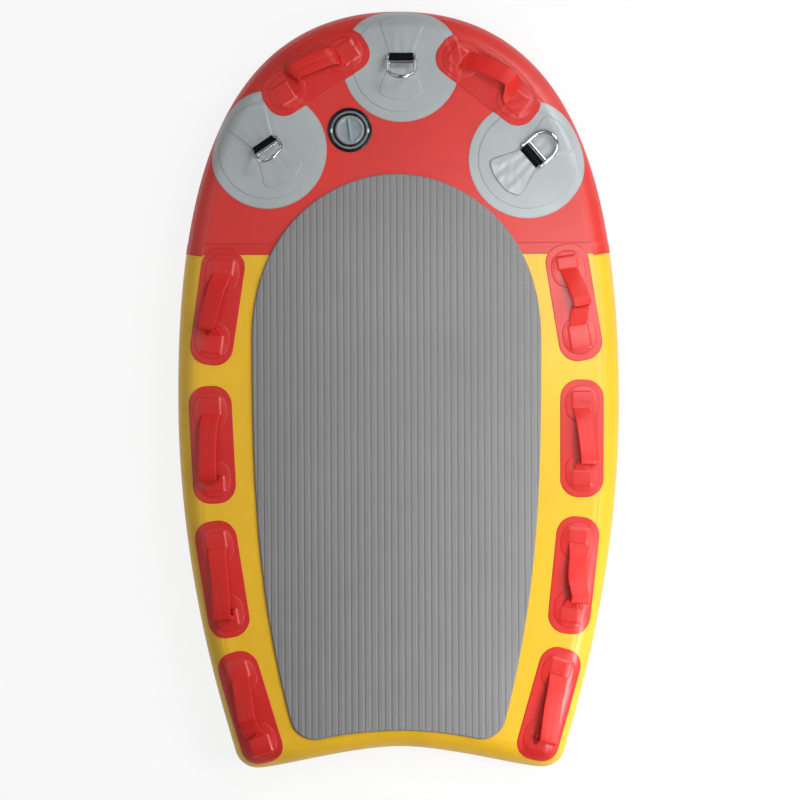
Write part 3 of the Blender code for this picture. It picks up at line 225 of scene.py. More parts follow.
SIDE_STEPS = 150
EDGE_HALF = half_frames(HULL, RAIL_RADIUS, SIDE_STEPS, SIDE_STEPS, 1, 50)
EDGE_LOOP = loop_points(EDGE_HALF, 0)
HULL_HALF = half_frames(HULL, RAIL_RADIUS, 90, 80, 8, 30)
HALF_LINE, HALF_NORMALS = (np.array(column) for column in zip(*EDGE_HALF))
HALF_REACHED = reach_along(HALF_LINE)


def nearest(points, loop):
    """Nearest points on a closed outline, and how far outside it each point lies."""
    along = np.roll(loop, -1, axis=0) - loop
    found, distances = [], []
    for part in np.array_split(points, max(1, len(points) // 1500)):
        share = np.clip(((part[:, None, :] - loop) * along).sum(2) / (along * along).sum(1), 0, 1)
        feet = loop + share[..., None] * along
        away = part[:, None, :] - feet
        rows, best = np.arange(len(part)), np.argmin((away ** 2).sum(2), axis=1)
        found.append(feet[rows, best])
        distances.append(np.linalg.norm(away[rows, best], axis=1))
    return np.concatenate(found), np.concatenate(distances) * np.where(inside(points, loop), -1, 1)


def inside(points, loop):
    ahead = np.roll(loop, -1, axis=0)
    x, y = points[:, 0, None], points[:, 1, None]
    crosses = (loop[:, 1] > y) != (ahead[:, 1] > y)
    rise = ahead[:, 1] - loop[:, 1]
    at = loop[:, 0] + (y - loop[:, 1]) * (ahead[:, 0] - loop[:, 0]) / np.where(rise == 0, 1, rise)
    return (crosses & (x < at)).sum(1) % 2 == 1


def on_deck(points, height):
    """Lay plan points at a height over the deck, bending them down round the rail past its edge."""
    points = np.array(points, dtype=float)
    height = np.broadcast_to(height, len(points)).astype(float)
    laid = np.column_stack((points, THICKNESS + height))
    out = np.nonzero(~inside(points, EDGE_LOOP))[0]
    if len(out):
        feet, far = nearest(points[out], EDGE_LOOP)
        normal = (points[out] - feet) / np.maximum(far, 1e-9)[:, None]
        reach = RAIL_RADIUS + height[out]
        laid[out, :2] = feet + normal * (reach * np.sin(far / RAIL_RADIUS))[:, None]
        laid[out, 2] = RAIL_RADIUS + reach * np.cos(far / RAIL_RADIUS)
    return laid


def place(side, at, distance, skew_deg, from_normal):
    """Plan matrix and origin of a fitting: first axis towards the nose, or out from the edge."""
    along = at * HALF_REACHED[2 * SIDE_STEPS]
    point, normal = (np.array([np.interp(along, HALF_REACHED, column) for column in line.T])
                     for line in (HALF_LINE, HALF_NORMALS))
    normal = unit(normal)
    x, y = normal if from_normal else (-normal[1], normal[0])
    cos, sin = math.cos(math.radians(skew_deg)), math.sin(math.radians(skew_deg))
    axis = np.array((side * (x * cos - y * sin), x * sin + y * cos))
    origin = (point - (distance - RAIL_RADIUS) * normal) * (side, 1)
    return np.array((axis, (-axis[1], axis[0]))), origin


# Materials: each helper adds its node to the tree that its first socket belongs to

def link(tree, kind, inputs=None, **settings):
    """Add a node; inputs are numbers, colours or the sockets of other nodes."""
    made = tree.nodes.new(f"ShaderNode{kind}")
    for key, value in settings.items():
        setattr(made, key, value)
    for key, value in (inputs or {}).items():
        if isinstance(value, bpy.types.NodeSocket):
            tree.links.new(value, made.inputs[key])
        else:
            made.inputs[key].default_value = value
    return made


def new_material(name, space="Object", **constants):
    """Material with constants on its shader, and the coordinates for its textures."""
    material = bpy.data.materials.new(name)
    material.use_nodes = True
    for key, value in constants.items():
        material.node_tree.nodes["Principled BSDF"].inputs[key.replace("_", " ")].default_value = value
    return material, link(material.node_tree, "TexCoord").outputs[space]


def point_value(at, key):
    return link(at.id_data, "Attribute", attribute_name=key).outputs["Fac"]


def noise(at, scale, detail=3.0):
    inputs = {"Vector": at, "Scale": scale, "Detail": detail, "Roughness": 0.55}
    return link(at.id_data, "TexNoise", inputs).outputs[0]


def wave(at, pitch, direction, distortion=0.0):
    """Bands at a pitch in metres."""
    inputs = {"Vector": at, "Scale": math.tau / 20 / pitch, "Distortion": distortion, "Detail": 1.0,
              "Detail Scale": 2.0}
    return link(at.id_data, "TexWave", inputs, bands_direction=direction).outputs[1]


def span(value, low, high, start=0.3, end=0.7):
    return link(value.id_data, "MapRange", {0: value, 1: start, 2: end, 3: low, 4: high}).outputs[0]


def blend(factor, a, b):
    return link(factor.id_data, "Mix", {0: factor, 6: a, 7: b}, data_type="RGBA").outputs[2]


def maths(operation, a, b):
    return link(a.id_data, "Math", {0: a, 1: b}, operation=operation).outputs[0]


def bump(height, distance, strength=1.0, after=None):
    inputs = {"Height": height, "Distance": distance, "Strength": strength}
    if after:
        inputs["Normal"] = after
    return link(height.id_data, "Bump", inputs).outputs[0]


def tint(colour, factor):
    return (*(min(1.0, c * factor) for c in colour), 1.0)


def mottled(at, scale, detail, colour, dark, light):
    return blend(span(noise(at, scale, detail), 0, 1), tint(colour, dark), tint(colour, light))


def finish(material, colour, roughness, normal):
    tree = material.node_tree
    for key, value in (("Base Color", colour), ("Roughness", roughness), ("Normal", normal)):
        tree.links.new(value, tree.nodes["Principled BSDF"].inputs[key])
    return material


def skin(name, colour, roughness, dimple):
    """Coated cloth: rows of fine dimples where yarn pulls the skin, faint clouding and scuffs."""
    material, at = new_material(name, Specular_IOR_Level=0.75)
    weave = maths("MULTIPLY", wave(at, 0.0036, "Y", 0.4), wave(at, 0.0027, "X", 0.4))
    base = blend(span(weave, 0.0, 0.16, 0, 1), mottled(at, 5.0, 4.0, colour, 0.92, 1.06), tint(colour, 0.72))
    rough = maths("ADD", span(noise(at, 30.0), roughness - 0.03, roughness + 0.04),
                  span(noise(at, 240.0, 2.0), -0.02, 0.03))
    return finish(material, base, rough, bump(noise(at, 34.0, 2.0), 0.0006, 0.35, bump(weave, dimple)))


def patch_skin(name, colour, roughness, ripple, rim):
    """Smooth glued sheet: soft ripples, fine grain, and a darker line round its rim."""
    material, at = new_material(name, Specular_IOR_Level=0.75)
    edge = maths("ADD", point_value(at, "rim"), span(noise(at, 160.0), -0.1, 0.1))
    base = blend(span(edge, 1, 0, 0.05, 0.45), mottled(at, 9.0, 4.0, colour, 0.93, 1.07), tint(colour, rim))
    rough = maths("ADD", span(noise(at, 22.0), roughness - 0.04, roughness + 0.05),
                  span(noise(at, 300.0), -0.02, 0.03))
    normal = bump(noise(at, 420.0, 2.0), 0.00012, 0.5, bump(noise(at, 16.0), ripple))
    return finish(material, base, rough, normal)


def webbing(name, colour, roughness, pitch, depth, hollow, sheen=0.05, gloss=0.4):
    """Flat woven webbing: ribs across it and a chevron of warp threads along it."""
    material, at = new_material(name, "UV", Sheen_Weight=sheen, Sheen_Roughness=0.4, Specular_IOR_Level=gloss)
    weave = maths("ADD", maths("MULTIPLY", wave(at, pitch, "Y"), wave(at, pitch * 1.25, "X")),
                  maths("MULTIPLY", wave(at, pitch * 2.2, "DIAGONAL"), 0.2))
    fuzz = noise(at, 900.0, 2.0)
    base = blend(span(weave, 0, 1, 0.0, 1.1), tint(colour, hollow), tint(colour, 1.06))
    base = blend(span(noise(at, 45.0), 0, 0.5), base, tint(colour, 0.85))
    rough = span(fuzz, roughness - 0.05, roughness + 0.08)
    return finish(material, base, rough, bump(fuzz, depth * 0.4, 0.5, bump(weave, depth)))


def foam(name, colour):
    """Closed-cell foam: fine grain, painted shade in its grooves and faint wear."""
    material, at = new_material(name, Specular_IOR_Level=0.35)
    grain = noise(at, 700.0, 2.0)
    base = blend(span(grain, 0, 0.35), mottled(at, 4.0, 5.0, colour, 0.93, 1.06), tint(colour, 0.82))
    # The darker tint in the grooves is painted shade; the worn patch is a stain.
    for key, factor in (("groove", 0.94), ("wear", 0.62)):
        base = blend(point_value(at, key), base, tint(colour, factor))
    return finish(material, base, span(grain, 0.72, 0.88), bump(grain, 0.00025, 0.6))


def moulded(name, colour, roughness, grain=520.0):
    """Moulded plastic or rubber: fine spark texture and faint handling marks."""
    material, at = new_material(name)
    rough = span(noise(at, 90.0), roughness - 0.07, roughness + 0.08)
    return finish(material, mottled(at, 60.0, 4.0, colour, 0.88, 1.12), rough,
                  bump(noise(at, grain, 2.0), 0.00008, 0.6))


def polished(name, colour, roughness):
    """Polished steel with fine hairlines and faint water marks."""
    material, at = new_material(name, Metallic=1.0)
    rough = maths("ADD", span(noise(at, 70.0), roughness, roughness + 0.1),
                  span(noise(at, 1500.0, 1.0), 0.0, 0.04))
    return finish(material, mottled(at, 110.0, 3.0, colour, 0.9, 1.05), rough,
                  bump(noise(at, 60.0, 2.0), 0.0001, 0.3))


RED = (0.62, 0.016, 0.009)
YELLOW = (0.78, 0.45, 0.005)
MATERIALS = {
    "red_pvc": skin("red_deck_skin", RED, 0.40, 0.00016),
    "yellow_pvc": skin("yellow_deck_skin", YELLOW, 0.40, 0.00012),
    "red_rail": patch_skin("red_rail_skin", RED, 0.44, 0.0004, 0.84),
    "yellow_rail": patch_skin("yellow_rail_skin", YELLOW, 0.44, 0.0004, 0.84),
    "red_tape": patch_skin("red_tape_skin", tint(RED, 0.95)[:3], 0.4, 0.0006, 0.7),
    "red_patch_pvc": patch_skin("red_patch_skin", (0.60, 0.012, 0.008), 0.38, 0.0012, 0.80),
    "grey_pvc": patch_skin("grey_patch_skin", (0.372, 0.404, 0.409), 0.36, 0.0016, 0.80),
    # Copy of the grey sheet for the crisp fan: its lighter colour is a painted highlight and its strong dark
    # rim a painted shadow along its raised edge.
    "grey_fan_painted_light": patch_skin("grey_fan_skin", (0.390, 0.422, 0.430), 0.30, 0.0024, 0.50),
    "red_webbing": webbing("red_webbing_weave", (0.68, 0.014, 0.008), 0.42, 0.0017, 0.0001, 0.86),
    "black_webbing": webbing("black_webbing_weave", (0.004, 0.004, 0.005), 0.6, 0.0018, 0.0004, 0.7, 0, 0.1),
    "polyester_cloth": webbing("core_cloth_weave", (0.75, 0.75, 0.72), 0.85, 0.0030, 0.0003, 0.7),
    "grey_foam": foam("grey_foam_grain", (0.232, 0.232, 0.235)),
    "black_plastic": moulded("black_moulding", (0.004, 0.005, 0.006), 0.25),
    "grey_plastic": moulded("grey_moulding", (0.235, 0.275, 0.295), 0.34),
    "grey_ring": moulded("valve_ring_moulding", (0.17, 0.215, 0.225), 0.42),
    # The tabs' pale colour is a painted highlight.
    "tab_painted_highlight": moulded("valve_tab_highlight_moulding", (0.62, 0.70, 0.70), 0.22),
    "rubber": moulded("black_rubber", (0.02, 0.02, 0.02), 0.75, 900.0),
    "stainless_steel": polished("polished_steel", (0.55, 0.56, 0.58), 0.06),
}


# Pieces

def added(name, data):
    obj = bpy.data.objects.new(name, data)
    bpy.context.scene.collection.objects.link(obj)
    return obj


def piece(name, points, faces, material, nodes=(), body="root", sharp_deg=40, uv=None, **attributes):
    """Object from points and faces that rides on a body, may stand for nodes, and has its material's slot."""
    mesh = bpy.data.meshes.new(name)
    mesh.from_pydata(np.asarray(points, dtype=float).tolist(), [], [list(map(int, f)) for f in faces])
    mesh.validate()
    mesh.shade_smooth()
    if sharp_deg < 180:
        mesh.set_sharp_from_angle(angle=math.radians(sharp_deg))
    for key, values in attributes.items():
        mesh.attributes.new(key, "FLOAT", "POINT").data.foreach_set("value", np.asarray(values, np.float32))
    if uv is not None:
        corners = np.zeros(len(mesh.loops), np.int32)
        mesh.loops.foreach_get("vertex_index", corners)
        layer = mesh.uv_layers.new(name="UVMap")
        layer.data.foreach_set("uv", np.asarray(uv, np.float32)[corners].ravel())
    mesh.materials.append(MATERIALS[material])
    obj = added(name, mesh)
    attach(obj, body)
    if nodes:
        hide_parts(*nodes)
    return obj


def face_outwards(obj, weld=0.0):
    """Turn all faces outwards, after welding the points that lie closer than a distance."""
    work = bmesh.new()
    work.from_mesh(obj.data)
    if weld:
        bmesh.ops.remove_doubles(work, verts=work.verts, dist=weld)
    bmesh.ops.recalc_face_normals(work, faces=work.faces)
    work.to_mesh(obj.data)
    work.free()


def grid_faces(rows, columns, closed=False):
    """Quads of points in row order; closed joins the last column to the first."""
    faces = []
    for r in range(rows - 1):
        for c in range(columns if closed else columns - 1):
            d = (c + 1) % columns
            faces.append((r * columns + c, (r + 1) * columns + c, (r + 1) * columns + d, r * columns + d))
    return faces


def tube_faces(rows, steps, ends):
    """Faces of a closed section's rows, with ends that are open, capped or joined to each other."""
    faces = grid_faces(rows, steps, closed=True)
    last = (rows - 1) * steps
    if ends == "capped":
        faces += [tuple(range(steps)), tuple(range(last, last + steps))[::-1]]
    if ends == "joined":
        faces += [(last + c, c, (c + 1) % steps, last + (c + 1) % steps) for c in range(steps)]
    return faces


def arc(start, end, count):
    """Unit vectors at even angles; arc(0, 2, n) is a whole circle of n, its last point not repeated."""
    angles = np.linspace(start, end, count + (end - start == 2)) * math.pi
    return np.column_stack((np.cos(angles), np.sin(angles)))[:count]


def flat_section(flat, thick, count, edge):
    """Section of a flat band: its top, one edge's points, its bottom and the other edge."""
    top = [(v * flat, thick) for v in np.linspace(-1, 1, count)]
    return top + edge + [(-v, 0.0) for v, _ in top] + [(-v, w) for v, w in reversed(edge)]


def inset(loop, distance):
    along = np.roll(loop, -1, axis=0) - np.roll(loop, 1, axis=0)
    along /= np.linalg.norm(along, axis=1)[:, None]
    return loop - distance * np.column_stack((along[:, 1], -along[:, 0]))


def densify(loop, spacing):
    """Closed outline with points at about a spacing."""
    dense = []
    for a, b in zip(loop, np.roll(loop, -1, axis=0)):
        steps = max(1, round(float(np.linalg.norm(b - a)) / spacing))
        dense += [a + (b - a) * i / steps for i in range(steps)]
    return np.array(dense)


def mesh_plan(outline, rings, spacing, holes=(), lines=(), loops=()):
    """Triangles inside an outline, with loops at distances inside it, lines across it and filled evenly."""
    faces, points, edges = [], [], []
    for loop in (outline, *holes):
        faces.append(list(range(len(points), len(points) + len(loop))))
        points += list(loop)
    for loop in [inset(outline, r) for r in rings] + list(loops):
        first = len(points)
        points += list(loop)
        edges += [(first + i, first + (i + 1) % len(loop)) for i in range(len(loop))]
    for line in lines:
        edges.append((len(points), len(points) + 1))
        points += [np.array(end) for end in line]
    if spacing:
        low, high = outline.min(0), outline.max(0)
        rows = np.arange(low[1], high[1], spacing * 0.866)
        columns = np.arange(low[0], high[0], spacing)
        grid = np.array([(x + spacing / 2 * (i % 2), y) for i, y in enumerate(rows) for x in columns])
        deep = nearest(grid, outline)[1] < -rings[-1] - spacing * 0.45
        points += list(grid[deep])
    verts, _, triangles, _, _, origins = delaunay_2d_cdt([Vector(p) for p in points], edges, faces, 0, 1e-7)
    kept = [list(t) for t, owners in zip(triangles, origins) if list(owners) == [0]]
    used = sorted({v for t in kept for v in t})
    index = {v: i for i, v in enumerate(used)}
    return np.array([tuple(verts[v]) for v in used]), [[index[v] for v in t] for t in kept]


def rounded_edge(depth, width=0.0011):
    """Share of a sheet's thickness at a depth inside its outline."""
    return np.sqrt(1 - (1 - np.clip(depth / width, 0, 1)) ** 2)


def laid_sheet(name, outline, thickness, under, material, nodes=(), relief=None, spacing=0.0042, width=0.0011,
               loops=()):
    """Sheet glued down over what is under it, its edge rounded, with relief added inside it."""
    plan, faces = mesh_plan(outline, (0.00012, 0.0004, 0.0009, 0.0016), spacing, loops=loops)
    depth = np.maximum(0, -nearest(plan, outline)[1])
    height = under(plan) + thickness * rounded_edge(depth, width) - SUNK
    if relief:
        height = height + relief(plan, depth)
    piece(name, on_deck(plan, height), faces, material, nodes, sharp_deg=180, rim=np.clip(depth / RIM, 0, 1))


# Layers under a sheet

TOW_FRAMES = {name: place(*row[:4], True) for name, row in TOWS.items()}
HANDLE_FRAMES = {name: place(*row[:4], False) for name, row in HANDLES.items()}
VALVE_CENTRE = place(-1, VALVE_AT, VALVE_INSET, 0, True)[1]


def lap_lift(plan):
    return LAP * smooth((nearest(plan, EDGE_LOOP)[1] - LAP_AT + 0.002) / 0.002)


def board_lift(plan):
    """Lift of a sheet over the side bands, the tape and the tow points' discs."""
    total = lap_lift(plan) + TAPE * smooth(1 - (np.abs(plan[:, 1] - PANEL_JOINT_Y) - TAPE_WIDTH / 2) / 0.002)
    for _, centre in TOW_FRAMES.values():
        for radius, thickness in ((BASE_RADIUS, DISC), (COVER_RADIUS, COVER)):
            total += thickness * smooth(1 - (np.linalg.norm(plan - centre, axis=1) - radius) / 0.0025)
    return total


# Hull

def build_deck():
    """Deck and bottom skins, flat inside and bent down to the side bands' laps."""
    outline = loop_points(HULL_HALF, LAP_AT + 0.001)
    loops = [loop_points(HULL_HALF, d) for d in (0.0105, 0.007, 0.0035, 0.0, -0.001)]
    joint = [((-0.6, PANEL_JOINT_Y), (0.6, PANEL_JOINT_Y))]
    for side, holes in (("deck", [VALVE_CENTRE + VALVE_HOLE * arc(0, 2, 48)]), ("bottom", [])):
        plan, faces = mesh_plan(outline, (), 0, holes, joint, loops)
        points, faces = on_deck(plan, 0.0), np.array(faces)
        if side == "bottom":
            points[:, 2] = THICKNESS - points[:, 2]
            faces = faces[:, ::-1]
        front = plan[faces].mean(1)[:, 1] > PANEL_JOINT_Y
        for part, chosen, colour in (("front", front, "red_pvc"), ("rear", ~front, "yellow_pvc")):
            used, index = np.unique(faces[chosen], return_inverse=True)
            piece(f"{side}_skin_{part}", points[used], index.reshape(-1, 3), colour,
                  [f"{side}_panel_{part}"], sharp_deg=180)


def band(name, frames, material, node, ends=None):
    """Side band glued round the rail; ends gives each frame's added height and share of its thickness."""
    total = math.pi * RAIL_RADIUS
    rib = 0.27 * total
    rounded = [(d, rounded_edge(d, 0.003)) for d in (0.0, 0.0004, 0.0012, 0.0030)]
    stations = [(LAP_AT + d, edge, 0.0) for d, edge in rounded]
    stations += [(s, 1.0, 0.0) for s in np.linspace(LAP_AT + 0.004, rib - 0.003, 7)]
    stations += [(rib + d, 1.0, ribbed) for d, ribbed in rounded]
    stations += [(s, 1.0, 1.0) for s in np.linspace(rib + 0.006, total / 2, 8)]
    stations += [(total - s, edge, ribbed) for s, edge, ribbed in reversed(stations[:-1])]
    points, rims = [], []
    for (point, normal), (extra, share) in zip(frames, ends or [(0.0, 1.0)] * len(frames)):
        for s, edge, ribbed in stations:
            reach = RAIL_RADIUS + ((LAP + extra) * edge + RIB * ribbed) * share
            plan = point + reach * math.sin(s / RAIL_RADIUS) * normal
            points.append((*plan, RAIL_RADIUS + reach * math.cos(s / RAIL_RADIUS)))
            rims.append(min(s - LAP_AT, total - LAP_AT - s) / RIM)
    piece(name, points, grid_faces(len(frames), len(stations)), material, [node], sharp_deg=180,
          rim=np.clip(rims, 0, 1))


def build_bands():
    """Side bands: the red one laps over the yellow ones, and the tail's butts against them."""
    edge = (HULL, RAIL_RADIUS)
    lap = [side_t_at(*edge, RAIL_JOINT_Y + d)
           for d in (0.025, 0.0235, 0.022, 0.010, 0.004, 0.0012, 0.0006, 0.0002, 0)]
    front = [side_frame(*edge, t) for t in [*np.linspace(0, lap[0], 100), *lap[1:]]]
    ahead = [max(0.0, point[1] - RAIL_JOINT_Y) for point, _ in front]
    ends = [(0.0008 * float(smooth((0.025 - d) / 0.003)), float(rounded_edge(d, 0.004))) for d in ahead]
    band("side_band_front", mirror(front[1:]) + front, "red_rail", "rail_front", ends[:0:-1] + ends)

    corner = tail_frame(*edge, 0)
    split = bisect(0, 1, lambda t: tail_frame(*edge, t)[0][0] < corner[0][0] * TAIL_BAND_SHARE)
    ts = [*np.linspace(side_t_at(*edge, RAIL_JOINT_Y + 0.018), 1, 40),
          *np.linspace(1, side_t_at(*edge, HULL[1] + RAIL_RADIUS), 80)[1:]]
    flank = [side_frame(*edge, t) for t in ts]
    flank += corner_frames(flank[-1], corner, 12)
    flank += [tail_frame(*edge, t) for t in np.linspace(0, split, 8)]
    tail = [tail_frame(*edge, t) for t in np.linspace(split, 1, 30)]
    for part, frames, node in (("right", flank, "rail_rear_right"), ("left", mirror(flank), "rail_rear_left"),
                               ("tail", tail + mirror(tail[:-1]), "rail_tail")):
        band(f"side_band_{part}", frames, "yellow_rail", node)


def build_tapes():
    """Tape over the joint of the deck panels, and one under the board, from side band to side band."""
    steps = [0, 0.0002, 0.0006, 0.0012, 0.004]
    across = [-TAPE_WIDTH / 2 + d for d in steps] + [0.0] + [TAPE_WIDTH / 2 - d for d in reversed(steps)]
    shares = [*np.linspace(-1, -0.9, 16), *np.linspace(-0.9, 0.9, 40)[1:-1], *np.linspace(0.9, 1, 16)]
    from_hull = RAIL_RADIUS - LAP_AT - 0.001
    points, rims = [], []
    for away in across:
        y = PANEL_JOINT_Y + away
        reach = side_frame(HULL, from_hull, side_t_at(HULL, from_hull, y))[0][0]
        depth = TAPE_WIDTH / 2 - abs(away)
        row = [(share * reach, y) for share in shares]
        points.append(on_deck(row, TAPE * rounded_edge(depth) - SUNK / 2))
        rims += [min(depth / RIM, 1)] * len(shares)
    points = np.concatenate(points)
    faces = grid_faces(len(across), len(shares))
    under = points * (1, 1, -1) + (0, 0, THICKNESS)
    piece("seam_tape", points, [f[::-1] for f in faces], "red_tape", ["deck_seam_tape"], sharp_deg=180,
          rim=rims)
    piece("bottom_seam_tape", under, faces, "red_tape", sharp_deg=180, rim=rims)


def build_pad():
    """Foam pad with rounded ridges between lengthwise grooves, lifted a little over the tape."""
    half = half_frames(PAD, PAD_CORNER_RADIUS, 60, 40, 12, 24)
    outline = densify(loop_points(half, PAD_CORNER_RADIUS, PAD_CENTRE_X), 0.008)
    count = int(0.34 / GROOVE_PITCH)
    xs = [PAD_CENTRE_X + i * GROOVE_PITCH + d for i in range(-count, count + 1)
          for d in (-0.0030, -0.0018, -0.0010, 0.0, 0.0010, 0.0018, 0.0030)]
    ys = [PANEL_JOINT_Y + sign * (TAPE_WIDTH / 2 + d) for d in (0.0, 0.002, 0.004) for sign in (-1, 1)]
    lines = [((x, 0.6), (x, -0.9)) for x in xs] + [((-0.4, y), (0.4, y)) for y in ys]
    plan, faces = mesh_plan(outline, (0.0003, 0.0010, 0.0022, 0.0036), 0, (), lines)
    depth = np.maximum(0, -nearest(plan, outline)[1])
    across = np.abs((plan[:, 0] - PAD_CENTRE_X + GROOVE_PITCH / 2) % GROOVE_PITCH - GROOVE_PITCH / 2)
    in_groove = np.clip(1 - across / (GROOVE_WIDTH / 2), 0, 1)
    dip = GROOVE_DEPTH * (1 - (1 - in_groove) ** 2) + 0.0002 * smooth(1 - across / 0.0032)
    from_tape = np.abs(plan[:, 1] - PANEL_JOINT_Y) - TAPE_WIDTH / 2
    height = 0.0002 + (PAD_THICKNESS - dip) * rounded_edge(depth, 0.0032)
    height += TAPE * smooth(1 - from_tape / 0.004)
    stain = np.hypot((plan[:, 0] + 0.040) / 0.034, (plan[:, 1] - 0.145) / 0.095)
    points = np.column_stack((plan, THICKNESS + height))
    # groove carries the painted shade of the pad's grooves, wear a stain on the pad.
    pad = piece("foam_deck_pad", points, faces, "grey_foam", ["deck_pad"], sharp_deg=50,
                groove=smooth(in_groove * 1.6), wear=0.55 * smooth(1 - stain))


# Handles

def patch_outline(axes, origin):
    reach = np.array((PATCH_LENGTH, PATCH_WIDTH)) / 2 - PATCH_CORNER
    outline = []
    for quadrant, signs in enumerate(((1, 1), (-1, 1), (-1, -1), (1, -1))):
        outline.append(reach * signs + PATCH_CORNER * arc(quadrant / 2, quadrant / 2 + 0.5, 15))
    return densify(np.concatenate(outline), 0.0045) @ axes + origin


def cover_outline(end):
    """Oval cover over a strap's foot, in the handle's own axes."""
    halves = [(at, 0) + COVER_HALF * arc(start, start + 1, 30)
              for at, start in ((COVER_OUT - COVER_HALF, -0.5), (COVER_IN + COVER_HALF, 0.5))]
    return densify(np.concatenate(halves) * end, 0.004)


def foot_loop(end, slit, away):
    """Rectangle round a strap's foot under its cover, open by a distance all round."""
    low, high, half = slit - away / 1.5, FOOT_END + away, FOOT_HALF + away
    return densify(np.array([(low, -half), (high, -half), (high, half), (low, half)]) * end, 0.003)


def foot_relief(axes, origin, end, slit):
    """Relief of a cover: the strap's foot under it, the lip of its slit and a soft pillow round them."""
    def relief(plan, depth):
        local = (plan - origin) @ axes.T
        along, across = local[:, 0] * end, np.abs(local[:, 1])
        beyond = np.maximum((slit - along) * 1.5, along - FOOT_END)
        away = np.hypot(np.maximum(0, beyond), np.maximum(0, across - FOOT_HALF))
        foot = 0.0021 * smooth(1 - away / 0.0050) * smooth(depth / 0.005)
        lip = 0.0007 * smooth(1 - np.abs(along - slit - 0.002) / 0.003) * smooth((FOOT_HALF - across) / 0.006)
        pillow = 0.0010 * smooth(1 - np.abs(along - 0.088) / 0.034) * smooth((0.036 - across) / 0.014)
        return 0.0006 * smooth(depth / 0.008) + foot + lip + pillow
    return relief


def build_patch(name, axes, origin, slits):
    """Patch on the board, and a cover over each of the strap's feet."""
    red = "red_patch_pvc"
    laid_sheet(f"{name}_base_patch", patch_outline(axes, origin), PATCH, board_lift, red, [f"{name}_patch"])
    for end, tag, slit in ((1, "fore", slits[0]), (-1, "aft", slits[1])):
        loops = [foot_loop(end, slit, d) @ axes + origin for d in (-0.0006, 0.0014, 0.0034, 0.0052)]
        laid_sheet(f"{name}_{tag}_cover", cover_outline(end) @ axes + origin, COVER,
                   lambda plan: board_lift(plan) + PATCH, red, (), foot_relief(axes, origin, end, slit),
                   0.0034, loops=loops)


def corner_cut(path, rounds, first=0.25):
    """Path with its corners rounded off; a smaller first cut keeps them tighter."""
    for share in [first] + [0.25] * (rounds - 1):
        cuts = [path[0]]
        for a, b in zip(path, path[1:]):
            cuts += [(1 - share) * a + share * b, share * a + (1 - share) * b]
        path = np.array(cuts + [path[-1]])
    return path


def strap_height(flop):
    """Height of the flop at which the strap has its real length."""
    end = STRAP_FOOT_AT + STRAP_FOOT
    rough = np.array([(end, 0, 0), (STRAP_FOOT_AT, 0, 0), *flop, (-STRAP_FOOT_AT, 0, 0), (-end, 0, 0)])

    def too_long(height):
        return reach_along(corner_cut(rough * (1, 1, height), 2))[-1] > 2 * end + STRAP_SLACK

    return bisect(0, STRAP_FOOT_AT, too_long)


def strap_path(flop, fore, aft):
    """Even points of the strap's bottom from slit to slit, and how far along it each one lies."""
    flop = np.array(flop) / 100 * (STRAP_FOOT_AT, STRAP_FOOT_AT, 1)
    rise = strap_height(flop)
    rough = [(fore + 0.008, 0, -0.004), (fore - 0.001, 0, -0.0002), *[(a, b, c * rise) for a, b, c in flop],
             (0.001 - aft, 0, -0.0002), (-aft - 0.008, 0, -0.004)]
    path = corner_cut(np.array(rough), 4, 0.17)
    path = path[np.concatenate(([True], np.linalg.norm(np.diff(path, axis=0), axis=1) > 1e-5))]
    reached = reach_along(path)
    rows = np.linspace(0, reached[-1], round(reached[-1] / 0.0018))
    path = np.column_stack([np.interp(rows, reached, column) for column in path.T])
    path[1:-1] = path[1:-1] * 0.5 + (path[:-2] + path[2:]) * 0.25
    return path, rows


def build_strap(name, axes, origin, side, flop, roll_deg, groove, slits):
    """Woven strap: out of the fore cover's slot, up in its flop, and down into the aft cover's slot."""
    path, rows = strap_path(flop, *slits)
    half, thick = STRAP_WIDTH / 2, STRAP_THICKNESS
    edge = [(half + thick / 2 * (s - 1), thick / 2 * (1 + c)) for c, s in arc(0, 1, 5)[1:-1]]
    section = flat_section(half - thick / 2, thick, 17, edge)
    points, uv = [], []
    for (along, out, z), way, row in zip(path, np.gradient(path, axis=0), rows):
        middle = np.array([(along, shift - out * side) for shift in (half, 0, -half)]) @ axes + origin
        ground = on_deck(middle, 0.0)[:, 2].max() + 0.0002 + PATCH + COVER + board_lift(middle).max()
        way = unit(way)
        free = float(smooth(max(0.0, z) / path[:, 2].max() * 1.3))
        roll = math.radians(roll_deg) * free
        across = unit(np.array((0.0, 1.0, 0.0)) - way[1] * way)
        across = across * math.cos(roll) + np.array((0, 0, -1.0)) * math.sin(roll)
        across = unit(across - across @ way * way)
        normal = np.cross(way, across)
        steep = abs(normal[2]) <= abs(normal[0])
        if way[2] * normal[0] > 0 if steep else normal[2] < 0:
            normal = -normal
        for v, w in section:
            dish = -0.0010 * free * (v / half) ** 2
            channel = -0.0011 * groove * free * math.exp(-(v / half / 0.16) ** 2) if w > thick / 2 else 0.0
            local = np.array((along, out, 0.0)) + across * v + normal * (w + dish + channel)
            plan = np.array((local[0], -side * local[1])) @ axes + origin
            points.append((*plan, ground + z + local[2]))
            uv.append((v, row))
    faces = tube_faces(len(path), len(section), "capped")
    face_outwards(piece(f"{name}_webbing", points, faces, "red_webbing", [f"{name}_strap"], uv=uv))


def build_handles():
    for name, (side, *_, flop, roll, groove, fore, aft) in HANDLES.items():
        build_patch(name, *HANDLE_FRAMES[name], (fore, aft))
        build_strap(name, *HANDLE_FRAMES[name], side, flop, roll, groove, (fore, aft))


# Tow points

def fan_outline(side, crisp):
    """One half of the fanned strap, from its neck under the ring outwards, in the tow point's own axes."""
    points = np.array(FAN_SIDE) * (side, side * (1 if crisp else 0.96))
    for _ in range(2 if crisp else 3):
        cut = []
        for a, b in zip(points, np.roll(points, -1, axis=0)):
            cut += [0.85 * a + 0.15 * b, 0.15 * a + 0.85 * b]
        points = np.array(cut)
    return densify(points, 0.0035)


